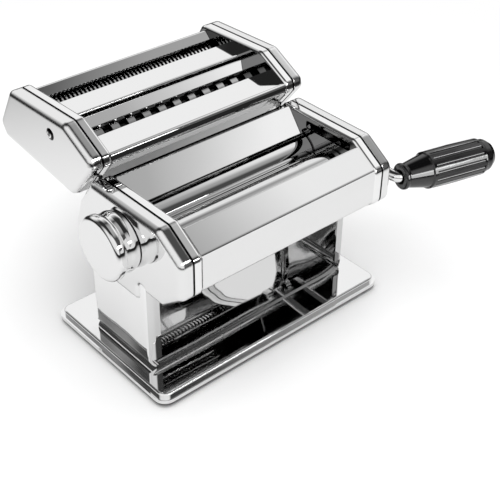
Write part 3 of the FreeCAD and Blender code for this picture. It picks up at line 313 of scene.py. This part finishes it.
# %% [markdown]
# ## Grip light
# The grip is black plastic and returns only a twentieth of the light, so nothing but a strong source
# draws highlights along its neck and flutes. On chrome the same source would be a harsh white bar.
# In a real studio, cards would shade the chrome from it. Light linking does that here, by naming the
# one piece that this light falls on.

# %% Light for the grip alone
GRIP_LIGHT_WAY = Vector((0.14, -0.97, 0.13)).normalized()
GRIP_LIGHT_SIZE = (1.10, 0.60)
GRIP_LIGHT_POWER = 13.0

grip_light = add_panel("grip_light", GRIP_LIGHT_WAY, GRIP_LIGHT_SIZE, GRIP_LIGHT_POWER)
lit_pieces = bpy.data.collections.new("lit_by_grip_light")
lit_pieces.objects.link(nodes["crank_grip"])
grip_light.light_linking.receiver_collection = lit_pieces

# %% [markdown]
# ## Shared effects
# What comes back on several pieces is a node group with named sockets, built once and placed in each
# finish with its own values. The alternative, copying the nodes from finish to finish, soon drifts
# apart. Every group starts empty, with its inputs and its one output.

# %% Start of a group
def new_group(name, inputs, output, kind="NodeSocketFloat", reads_place=True):
    """Empty shader group with named numbers as inputs, one output, and a place where it reads one."""
    group = bpy.data.node_groups.new(name, "ShaderNodeTree")
    if reads_place:
        group.interface.new_socket("Place", in_out="INPUT", socket_type="NodeSocketVector")
    for socket, value in inputs.items():
        made = group.interface.new_socket(socket, in_out="INPUT", socket_type="NodeSocketFloat")
        made.default_value = value
    group.interface.new_socket(output, in_out="OUTPUT", socket_type=kind)
    given = group.nodes.new("NodeGroupInput").outputs
    result = group.nodes.new("NodeGroupOutput").inputs[output]
    return group, given, result


print("group tool:", new_group.__name__)

# %% [markdown]
# ## Ripple and streaks
# Polished sheet is never quite flat: a slow ripple, and the long streaks of the rolling mill, bend its
# reflections. Waves could be modelled, but that would change a CAD solid. A height that feeds a bump
# moves only the reflections.

# %% Ripple and streaks of rolled sheet
RIPPLE_SCALE = 14.0
STREAK_SCALE = 30.0
STREAK_STRETCH = (0.10, 1.0, 0.35)


def noise(tree, place, scale, detail):
    """Soft random pattern between 0 and 1."""
    node = tree.nodes.new("ShaderNodeTexNoise")
    node.inputs["Detail"].default_value = detail
    give(tree, place, node.inputs["Vector"])
    give(tree, scale, node.inputs["Scale"])
    return node.outputs["Fac"]


def make_ripple_group():
    """Slow unevenness of a sheet, the same in all directions."""
    group, given, result = new_group("sheet_ripple", {"Scale": RIPPLE_SCALE}, "Height")
    give(group, noise(group, given["Place"], given["Scale"], detail=1.0), result)
    return group


def make_streak_group():
    """Long shallow waves that the rolling mill leaves, running along X."""
    group, given, result = new_group("rolled_streaks", {"Scale": STREAK_SCALE}, "Height")
    stretched = vector_result(group, "MULTIPLY", given["Place"], STREAK_STRETCH)
    give(group, noise(group, stretched, given["Scale"], detail=0.0), result)
    return group


ripple_group = make_ripple_group()
streak_group = make_streak_group()
print("sheet groups:", ripple_group.name, streak_group.name)

# %% [markdown]
# ## Marks of the lathe
# A lathe tool leaves fine lines across the axis of a roller or a shaft. A drawn texture would need the
# round surface unwrapped. Noise that reads only the place along the axis gives rings by itself, because
# it is the same all the way round.

# %% Marks of the lathe
LATHE_LINES = 2500.0


def make_turning_group():
    """Fine marks of a lathe tool: lines across the axis, which runs along X."""
    group, given, result = new_group("turning_marks", {"Lines": LATHE_LINES}, "Height")
    lines = group.nodes.new("ShaderNodeTexNoise")
    lines.noise_dimensions = "1D"
    lines.inputs["Scale"].default_value = 1.0
    lines.inputs["Detail"].default_value = 2.0
    along = split(group, given["Place"])["X"]
    give(group, math_result(group, "MULTIPLY", along, given["Lines"]), lines.inputs["W"])
    give(group, lines.outputs["Fac"], result)
    return group


turning_group = make_turning_group()
print("lathe group:", turning_group.name)

# %% [markdown]
# ## Film of fingers
# Hands leave a thin film on steel, which dulls the gloss in soft patches. One even roughness would be
# simpler, but real metal never looks so clean. Noise wanders between a clean and a dull value instead.

# %% Film of fingers
FILM_SCALE = 40.0
FILM_THIN, FILM_THICK = 0.35, 0.75


def make_film_group():
    """Roughness that wanders between a clean and a dull value."""
    group, given, result = new_group(
        "handling_film", {"Scale": FILM_SCALE, "Clean": 0.03, "Dull": 0.1}, "Roughness")
    patches = noise(group, given["Place"], given["Scale"], detail=5.0)
    film = spread(group, patches, FILM_THIN, FILM_THICK, given["Clean"], given["Dull"])
    give(group, film, result)
    return group


film_group = make_film_group()
print("film group:", film_group.name)

# %% [markdown]
# ## Painted shade on inner faces and low edges
# The inner faces of the covers, the side plates and the stand are painted darker as shade, and so is
# what lies below a height, such as the lower edge of the pan, where the gap under it is in shadow.
# Separate faces could carry separate materials, but a mask needs no change to a CAD solid: it reads
# the place on the piece, and fades out past a limit along one axis.

# %% Masks of painted shade on inner faces and low edges
def make_limit_group(name, axis, limit, blur, both_sides):
    """Mask of what lies short of a limit along one axis, on both sides of the middle where asked."""
    group, given, result = new_group(name, {"Limit": limit, "Blur": blur}, "Mask")
    along = split(group, given["Place"])[axis]
    if both_sides:
        along = math_result(group, "ABSOLUTE", along)
    end = math_result(group, "ADD", given["Limit"], given["Blur"])
    give(group, spread(group, along, given["Limit"], end, low=1.0, high=0.0), result)
    return group


# Painted shade: the inner faces of the shells, and what lies below a height
inner_shade_group = make_limit_group("inner_face_shade", "X", limit=0.08, blur=0.0001, both_sides=True)
low_shade_group = make_limit_group("low_edge_shade", "Z", limit=0.005, blur=0.0004, both_sides=False)
print("limit groups:", inner_shade_group.name, low_shade_group.name)

# %% [markdown]
# ## Rims
# The groove between the discs of a cutter is painted near black, as the shade that fills it, while the
# rim keeps a brighter grey. The rims could be picked out face by face, but there are too many of them.
# How far a place lies from the axis of its roller tells rim and groove apart.

# %% Mask of the rim of a disc
def make_rim_group():
    """Mask of the outer rim of discs that turn about an axis along X."""
    group, given, result = new_group("disc_rim", {"Depth": 0.0, "Height": 0.0, "Rim": 0.0094}, "Mask")
    axes = split(group, given["Place"])
    across = group.nodes.new("ShaderNodeCombineXYZ")
    for axis, socket in (("Y", "Depth"), ("Z", "Height")):
        away = math_result(group, "SUBTRACT", axes[axis], given[socket])
        give(group, away, across.inputs[axis])
    reach = vector_result(group, "LENGTH", across.outputs["Vector"])
    give(group, math_result(group, "GREATER_THAN", reach, given["Rim"]), result)
    return group


rim_group = make_rim_group()
print("rim group:", rim_group.name)

# %% [markdown]
# ## Crown of a pressed cover
# Pressing leaves the front slope of a cover swollen, by less than the steel is thick, and its edges
# soft. More faces could be modelled for that, but turning the shading normal is enough for a form that
# no outline shows.

# %% Crown of a pressed cover
EDGE_RADIUS = 0.0022
EDGE_SAMPLES = 6
FRONT_FACING = (-0.20, -0.40)
TOP_FACING = (0.40, 0.60)
TO_FRONT = (0.0, -1.0, 0.0)


def make_crown_group():
    """Normal of a pressed cover with soft edges, whose front slope swells instead of lying flat."""
    group, given, result = new_group(
        "pressed_crown", {"Swell": 0.35}, "Normal", kind="NodeSocketVector", reads_place=False)
    soft_edge = group.nodes.new("ShaderNodeBevel")
    soft_edge.samples = EDGE_SAMPLES
    soft_edge.inputs["Radius"].default_value = EDGE_RADIUS
    face = soft_edge.outputs["Normal"]
    facing = split(group, face)
    front = spread(group, facing["Y"], *FRONT_FACING)
    top = spread(group, facing["Z"], *TOP_FACING)
    slope = math_result(group, "MULTIPLY", front, top)
    push = math_result(group, "MULTIPLY", slope, given["Swell"])
    lean = vector_result(group, "MULTIPLY_ADD", push, TO_FRONT, face)
    give(group, vector_result(group, "NORMALIZE", lean), result)
    return group


crown_group = make_crown_group()
print("crown group:", crown_group.name)

# %% [markdown]
# ## Crisp fold
# The panel under the feed is folded to a crisp line. The small round bend of its solid would mirror a
# whole sweep of the room. A sharper solid could be made, but sheet can't be folded quite sharp, so the
# bend only takes the normal of the front, and shades as part of it.

# %% Crisp fold of a panel
# The Mix node keeps a set of sockets for each data type; these are the places of its vector sockets
VECTOR_A, VECTOR_B, VECTOR_RESULT = 4, 5, 1
FOLD_BOTTOM = 0.01
FOLD_FRONT = -0.5


def make_fold_group():
    """Normal of a sheet with a crisp fold: the narrow bend under its front edge shades as the front."""
    group, given, result = new_group(
        "crisp_fold", {"Top": 0.80}, "Normal", kind="NodeSocketVector", reads_place=False)
    face = group.nodes.new("ShaderNodeNewGeometry").outputs["Normal"]
    facing = split(group, face)
    below = math_result(group, "LESS_THAN", facing["Z"], given["Top"])
    above = math_result(group, "GREATER_THAN", facing["Z"], FOLD_BOTTOM)
    front = math_result(group, "LESS_THAN", facing["Y"], FOLD_FRONT)
    bend = math_result(group, "MULTIPLY", math_result(group, "MULTIPLY", below, above), front)
    turn = group.nodes.new("ShaderNodeMix")
    turn.data_type = "VECTOR"
    give(group, bend, turn.inputs["Factor"])
    give(group, face, turn.inputs[VECTOR_A])
    give(group, TO_FRONT, turn.inputs[VECTOR_B])
    give(group, turn.outputs[VECTOR_RESULT], result)
    return group


fold_group = make_fold_group()
print("fold group:", fold_group.name)

# %% [markdown]
# ## Start of a finish
# Every finish on the machine has been handled, so each starts as a Principled shader whose roughness
# comes from the film. An asset library could hold ready materials, but then nothing would show how they
# are made.

# %% Start of a finish
def place_group(tree, group, values, place=None):
    """Put a shared effect in a finish, with its own values, and give back its result."""
    effect = tree.nodes.new("ShaderNodeGroup")
    effect.node_tree = group
    for socket, value in values.items():
        effect.inputs[socket].default_value = value
    if place is not None:
        tree.links.new(place, effect.inputs["Place"])
    return effect.outputs[0]


def new_finish(name, colour, metallic, clean, dull, film_scale=FILM_SCALE):
    """Material with a handled surface; returns what a finish may extend."""
    material = bpy.data.materials.new(name)
    material.use_nodes = True
    tree = material.node_tree
    tree.nodes.clear()
    output = tree.nodes.new("ShaderNodeOutputMaterial")
    shader = tree.nodes.new("ShaderNodeBsdfPrincipled")
    shader.inputs["Base Color"].default_value = (*colour, 1)
    shader.inputs["Metallic"].default_value = metallic
    place = tree.nodes.new("ShaderNodeTexCoord").outputs["Object"]
    film = place_group(tree, film_group, {"Scale": film_scale, "Clean": clean, "Dull": dull}, place)
    tree.links.new(film, shader.inputs["Roughness"])
    tree.links.new(shader.outputs["BSDF"], output.inputs["Surface"])
    return material, tree, shader, place


print("finish tools:", ", ".join(tool.__name__ for tool in (place_group, new_finish)))

# %% [markdown]
# ## Bump and second grey
# Most finishes add a bump, which may lie on top of an earlier one, or a second grey that a mask brings
# in. Both could be written out in each finish, but as helpers they are wired the same way every time.

# %% Bump and second grey
# The Mix node keeps a set of sockets for each data type; these are the places of its colour sockets
COLOUR_A, COLOUR_B, COLOUR_RESULT = 6, 7, 2


def add_bump(tree, shader, height, strength, distance, below=None):
    """Bump a finish by a height, on top of an earlier normal where one is given."""
    bump = tree.nodes.new("ShaderNodeBump")
    bump.inputs["Strength"].default_value = strength
    bump.inputs["Distance"].default_value = distance
    tree.links.new(height, bump.inputs["Height"])
    if below is not None:
        tree.links.new(below, bump.inputs["Normal"])
    tree.links.new(bump.outputs["Normal"], shader.inputs["Normal"])
    return bump.outputs["Normal"]


def two_greys(tree, shader, mask, plain_grey, masked_grey):
    """Colour a finish with one grey, and with another where a mask says so."""
    colours = tree.nodes.new("ShaderNodeMix")
    colours.data_type = "RGBA"
    colours.inputs[COLOUR_A].default_value = (plain_grey, plain_grey, plain_grey, 1)
    colours.inputs[COLOUR_B].default_value = (masked_grey, masked_grey, masked_grey, 1)
    tree.links.new(mask, colours.inputs["Factor"])
    tree.links.new(colours.outputs[COLOUR_RESULT], shader.inputs["Base Color"])


print("finish tools:", ", ".join(tool.__name__ for tool in (add_bump, two_greys)))

# %% [markdown]
# ## Polished sheet
# Most of the machine is steel sheet, pressed and then plated. The plating is a mirror, so its grey stays
# high and its roughness low, and only the ripple tells it from glass. Options add what one sheet has and
# another lacks. A separate material for each sheet would repeat nearly all of its nodes.

# %% Polished sheet
RIPPLE_DEPTH = 0.001
STREAK_DEPTH = 0.002


def polished(name, grey, clean=0.02, dull=0.06, ripple=0.15, streaks=None, fold=None, swell=None,
             inner_reach=None, inner_shade_grey=None, low_shade_height=None, low_shade_grey=None):
    """Mirror-bright sheet, with streaks, a fold, a crown, and painted shade on an inner face and below a
    height, where asked.
    """
    material, tree, shader, place = new_finish(name, (grey, grey, grey), 1.0, clean, dull)
    below = None
    if fold:
        below = place_group(tree, fold_group, {"Top": fold})
    if swell:
        below = place_group(tree, crown_group, {"Swell": swell})
    ripples = place_group(tree, ripple_group, {"Scale": RIPPLE_SCALE}, place)
    rippled = add_bump(tree, shader, ripples, ripple, RIPPLE_DEPTH, below)
    if streaks:
        waves = place_group(tree, streak_group, {"Scale": STREAK_SCALE}, place)
        add_bump(tree, shader, waves, streaks, STREAK_DEPTH, rippled)
    # Painted shade: a darker grey on the inner face, and below a height
    if inner_reach:
        inner = place_group(tree, inner_shade_group, {"Limit": inner_reach}, place)
        two_greys(tree, shader, inner, grey, inner_shade_grey)
    if low_shade_height:
        low_shade = place_group(tree, low_shade_group, {"Limit": low_shade_height}, place)
        two_greys(tree, shader, low_shade, grey, low_shade_grey)
    return material


print("sheet finish:", polished.__doc__)

# %% [markdown]
# ## Turned pieces
# Rollers, shafts and bushes come off a lathe and keep its fine lines across the axis. The cutters are
# turned too, and their grooves are painted near black as shade. Lines this fine could
# be modelled, but they would be smaller than a pixel.

# %% Turned finishes
LATHE_DEPTH = 0.0001
# Painted shade: the grooves are near black, and the wide cutter's rims are a darker grey for the shade in
# its slot
FINE_RIM_GREY, WIDE_RIM_SHADE_GREY, GROOVE_SHADE_GREY = 0.75, 0.45, 0.02
behaviour = frame["record"]["behaviour"]


def turned(name, colour, clean, dull, strength):
    """Round bar off a lathe."""
    material, tree, shader, place = new_finish(name, colour, 1.0, clean, dull)
    lines = place_group(tree, turning_group, {"Lines": LATHE_LINES}, place)
    add_bump(tree, shader, lines, strength, LATHE_DEPTH)
    return material


def disc_cutter(node):
    """Cutter roller whose grooves are painted near black as shade between its disc rims."""
    rim_grey = FINE_RIM_GREY if node.startswith("fine") else WIDE_RIM_SHADE_GREY
    body = next(name for name, names in behaviour["bodies"].items() if node in names)
    joint = next(one for one in behaviour["joints"] if one["child"] == body)
    _, depth, height = joint["pos_m"]
    material, tree, shader, place = new_finish(
        node + "_steel", (rim_grey, rim_grey, rim_grey), metallic=1.0, clean=0.04, dull=0.10)
    rim = place_group(tree, rim_group, {"Depth": depth, "Height": height}, place)
    # Painted shade in the grooves between the rims
    two_greys(tree, shader, rim, GROOVE_SHADE_GREY, rim_grey)
    return material


print("turned finishes:", turned.__doc__, disc_cutter.__doc__)

# %% [markdown]
# ## Screw and moulded pieces
# The screw has painted shade: a dark line where it meets its cover, and a dark socket. The line could be a
# real gap, but it is too thin to show as one, so two rim masks paint it. Plastic and rubber take the faint
# grain of their mould, which is the ripple again at a much finer scale.

# %% Screw and moulded finishes
SCREW_GREY, SCREW_SHADE_GREY = 0.8, 0.02
SCREW_RING, SCREW_SOCKET = 0.0024, 0.0011
GRAIN_SCALE = 900.0
GRAIN_STRENGTH, GRAIN_DEPTH = 0.05, 0.0002


def screw_head(name, depth, height):
    """Bright screw head with painted shade in a line where it meets the cover and in its socket."""
    material, tree, shader, place = new_finish(
        name, (SCREW_GREY, SCREW_GREY, SCREW_GREY), metallic=1.0, clean=0.12, dull=0.2)
    past_socket, past_ring = (
        place_group(tree, rim_group, {"Depth": depth, "Height": height, "Rim": radius}, place)
        for radius in (SCREW_SOCKET, SCREW_RING))
    # Painted shade: the line round the head and the socket are near black
    face = math_result(tree, "SUBTRACT", past_socket, past_ring)
    two_greys(tree, shader, face, SCREW_SHADE_GREY, SCREW_GREY)
    return material


def moulded(name, colour, clean, dull, gloss=0.5):
    """Plastic or rubber from a mould."""
    material, tree, shader, place = new_finish(name, colour, 0.0, clean, dull)
    shader.inputs["Specular IOR Level"].default_value = gloss
    grain = place_group(tree, ripple_group, {"Scale": GRAIN_SCALE}, place)
    add_bump(tree, shader, grain, GRAIN_STRENGTH, GRAIN_DEPTH)
    return material


print("other finishes:", screw_head.__doc__, moulded.__doc__)

# %% [markdown]
# ## Finishes of the slots
# The CAD record names a slot for each piece, such as the chrome of the covers or the rubber of the feet.
# Each piece could have a material of its own, but one for each slot keeps like pieces alike.
# The greys differ a little, because plated sheet, ground rollers and sawn bars don't shine alike.

# %% Finishes of the slots
# How far from the middle the inner faces of the covers, the side plates and the stand lie
COVER_INNER, SIDE_INNER = 0.0829, 0.0751
STAND_OUTER_SKIN = 0.0004
stand_inner = max(abs(corner[0]) for corner in nodes["stand_bracket"].bound_box) - STAND_OUTER_SKIN
PAN_SHADE_HEIGHT = 0.0036

# The second grey of the covers, the side plates and the stand is painted shade on their inner faces; that
# of the base is painted shade along its lower edge
finishes = {
    "cover_chrome": polished("cover_chrome", 0.83, swell=0.35, inner_reach=COVER_INNER, inner_shade_grey=0.01),
    "side_chrome": polished("side_chrome", 0.90, ripple=0.6, inner_reach=SIDE_INNER, inner_shade_grey=0.22),
    "panel_chrome": polished("panel_chrome", 0.87),
    "stand_chrome": polished("stand_chrome", 0.96, ripple=0.6, streaks=0.6, inner_reach=stand_inner,
                             inner_shade_grey=0.70),
    "base_chrome": polished("base_chrome", 0.88, streaks=0.25, low_shade_height=PAN_SHADE_HEIGHT, low_shade_grey=0.05),
    "knob_chrome": polished("knob_chrome", 0.84, clean=0.005, dull=0.015),
    "rod_chrome": polished("rod_chrome", 0.88),
    "roller_steel": turned("roller_steel", (0.78, 0.78, 0.78), clean=0.02, dull=0.05, strength=0.005),
    "frame_steel": turned("frame_steel", (0.60, 0.60, 0.60), clean=0.2, dull=0.35, strength=0.02),
    "gear_steel": turned("gear_steel", (0.50, 0.50, 0.50), clean=0.3, dull=0.45, strength=0.02),
    "bush_bronze": turned("bush_bronze", (0.66, 0.50, 0.28), clean=0.3, dull=0.45, strength=0.02),
    "grip_black": moulded("grip_black", (0.002, 0.002, 0.0022), clean=0.05, dull=0.09, gloss=0.8),
    "core_plastic": moulded("core_plastic", (0.03, 0.03, 0.03), clean=0.4, dull=0.5),
    "foot_rubber": moulded("foot_rubber", (0.02, 0.02, 0.02), clean=0.6, dull=0.75),
}
print("finishes:", ", ".join(finishes))

# %% [markdown]
# ## Finishes handed out
# Three pieces differ from the rest of their slot: the screws with their painted shade, the front panel with
# its crisp fold, and the cutter's front panel with painted shade on its lower fold. Each cutter roller has
# its own axis, and so its own finish. All could be set by hand, piece by piece, but a loop can't forget
# one.

# %% Finishes handed out
SCREW_DEPTH, SCREW_HEIGHT = 0.0625, 0.1486
FEED_FOLD = 0.58
CUTTER_FOLD = 0.1392

own_finishes = {
    "cutter_cover_screws": screw_head("screw_chrome", SCREW_DEPTH, SCREW_HEIGHT),
    "front_panel": polished("front_panel_chrome", 0.82, fold=FEED_FOLD),
    # Painted shade: the cutter's front panel is darker below the height of its fold
    "cutter_front_panel": polished("cutter_front_chrome", 0.87, low_shade_height=CUTTER_FOLD, low_shade_grey=0.30),
}
slots = {entry["node"]: entry["material_slot"] for entry in frame["record"]["subparts"]}
for node, slot in slots.items():
    if node in own_finishes:
        finish = own_finishes[node]
    elif slot == "cutter_steel":
        finish = disc_cutter(node)
    else:
        finish = finishes[slot]
    nodes[node].data.materials.clear()
    nodes[node].data.materials.append(finish)
print("pieces finished:", len(slots), "of which on their own:", ", ".join(own_finishes))

# %% [markdown]
# ## Spring that gives way
# The knob is pulled out against a small coil spring before it turns. A rigid solid can't shorten, so a
# coil takes its place. A curve with a bevel could be that coil, but a mesh is what can be squeezed.
# It starts as one ring, as thick as the wire, stood upright at the coil's distance from the knob's axis.

# %% Ring of wire
WIRE_RADIUS = 0.0006
WIRE_SIDES = 10

coil_x = [corner[0] for corner in nodes["knob_spring"].bound_box]
coil_z = [corner[2] for corner in nodes["knob_spring"].bound_box]
washer_x, free_x = min(coil_x), max(coil_x)
axis_y, axis_z = -0.0130, 0.1064
coil_radius = (max(coil_z) - min(coil_z)) / 2 - WIRE_RADIUS

bpy.ops.object.select_all(action="DESELECT")
bpy.ops.mesh.primitive_circle_add(vertices=WIRE_SIDES, radius=WIRE_RADIUS, fill_type="NOTHING",
                                  location=(washer_x + WIRE_RADIUS, axis_y, axis_z))
coil = bpy.context.object
coil.name = "knob_coil"
bpy.ops.object.mode_set(mode="EDIT")
bpy.ops.mesh.select_all(action="SELECT")
bpy.ops.transform.rotate(value=math.pi / 2, orient_axis="X", center_override=tuple(coil.location))
bpy.ops.transform.translate(value=(0, 0, coil_radius))
bpy.ops.object.mode_set(mode="OBJECT")
print("ring of wire:", len(coil.data.vertices), "points,", round(1000 * coil_radius, 2), "mm off the axis")

# %% [markdown]
# ## Coil
# Spring wire is wound round a bar, one turn beside the next. A spin could sweep the ring round, but a
# Screw modifier also moves it along the axis, as winding does. The two ends are then closed, and the
# faces turned outwards.

# %% Ring swept to a coil
COIL_TURNS = 3
COIL_STEPS = 32

sweep = coil.modifiers.new("sweep", "SCREW")
sweep.axis = "X"
sweep.angle = 2 * math.pi * COIL_TURNS
sweep.screw_offset = free_x - washer_x - 2 * WIRE_RADIUS
sweep.steps = sweep.render_steps = COIL_STEPS * COIL_TURNS
bpy.ops.object.modifier_apply(modifier="sweep")
bpy.ops.object.mode_set(mode="EDIT")
bpy.ops.mesh.select_all(action="SELECT")
bpy.ops.mesh.fill_holes(sides=0)
bpy.ops.mesh.select_all(action="SELECT")
bpy.ops.mesh.normals_make_consistent(inside=False)
bpy.ops.object.mode_set(mode="OBJECT")
bpy.ops.object.transform_apply(location=True, rotation=True, scale=True)
bpy.ops.object.shade_smooth()
print("knob coil:", len(coil.data.vertices), "points,", round(1000 * (free_x - washer_x), 2), "mm long")

# %% [markdown] ## Ride One end of the spring rests on its washer. The coil takes the spring's finish and
# rides on the adjuster body, in place of the spring solid, which is hidden.

slot = slots["knob_spring"]
coil.data.materials.append(finishes[slot])
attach(coil, "adjuster")
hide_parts("knob_spring")
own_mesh(coil)

# %% [markdown]
# ## Table for mirrors
# Mirrors are shown only a small white table. Beyond it they see a dark room, which is what draws the
# dark lines along the bends. In a real studio, black cards stand round the table for this. Here the
# Light Path node tells mirror rays apart.

# %% Floor that mirrors see
FLOOR_GREY, ROOM_GREY = 0.95, 0.02
TABLE_RADIUS, ROOM_RADIUS = 0.25, 0.75
TABLE_DIM = 0.16

floor_paint, floor_tree, floor_shader, floor_place = new_finish(
    "studio_white", (FLOOR_GREY, FLOOR_GREY, FLOOR_GREY), metallic=0.0, clean=0.7, dull=0.8, film_scale=3.0)
floor_shader.inputs["Specular IOR Level"].default_value = 0.0
floor_path = floor_tree.nodes.new("ShaderNodeLightPath").outputs
floor_reach = vector_result(floor_tree, "LENGTH", floor_place)
room = spread(floor_tree, floor_reach, TABLE_RADIUS, ROOM_RADIUS, low=TABLE_DIM, smooth=True)
room_mirrored = math_result(floor_tree, "MULTIPLY", room, floor_path["Is Glossy Ray"])
floor_dark = floor_tree.nodes.new("ShaderNodeBsdfDiffuse")
floor_dark.inputs["Color"].default_value = (ROOM_GREY, ROOM_GREY, ROOM_GREY, 1)
floor_mirrored = floor_tree.nodes.new("ShaderNodeMixShader")
floor_tree.links.new(room_mirrored, floor_mirrored.inputs["Fac"])
floor_tree.links.new(floor_shader.outputs["BSDF"], floor_mirrored.inputs[1])
floor_tree.links.new(floor_dark.outputs["BSDF"], floor_mirrored.inputs[2])
print("white table for mirrors:", TABLE_RADIUS, "m")

# %% [markdown]
# ## Table for the camera
# For the camera the table fades into the white of the backdrop, so that no horizon shows. A curved
# paper sweep does that in a studio. Here the far floor glows in the backdrop's own grey, and only for
# rays that come from the camera, so it lights nothing.

# %% Floor that the camera sees
COVE_START, COVE_END = 0.14, 0.65

cove = spread(floor_tree, floor_reach, COVE_START, COVE_END, smooth=True)
cove_seen = math_result(floor_tree, "MULTIPLY", cove, floor_path["Is Camera Ray"])
floor_cove = floor_tree.nodes.new("ShaderNodeEmission")
floor_cove.inputs["Color"].default_value = (BACKDROP_GREY, BACKDROP_GREY, BACKDROP_GREY, 1)
floor_seen = floor_tree.nodes.new("ShaderNodeMixShader")
floor_tree.links.new(cove_seen, floor_seen.inputs["Fac"])
floor_tree.links.new(floor_mirrored.outputs["Shader"], floor_seen.inputs[1])
floor_tree.links.new(floor_cove.outputs["Emission"], floor_seen.inputs[2])
floor_tree.links.new(floor_seen.outputs["Shader"], floor_tree.nodes["Material Output"].inputs["Surface"])
floor.data.materials.append(floor_paint)
print("floor fades to white from", COVE_START, "to", COVE_END, "m")

# %% [markdown]
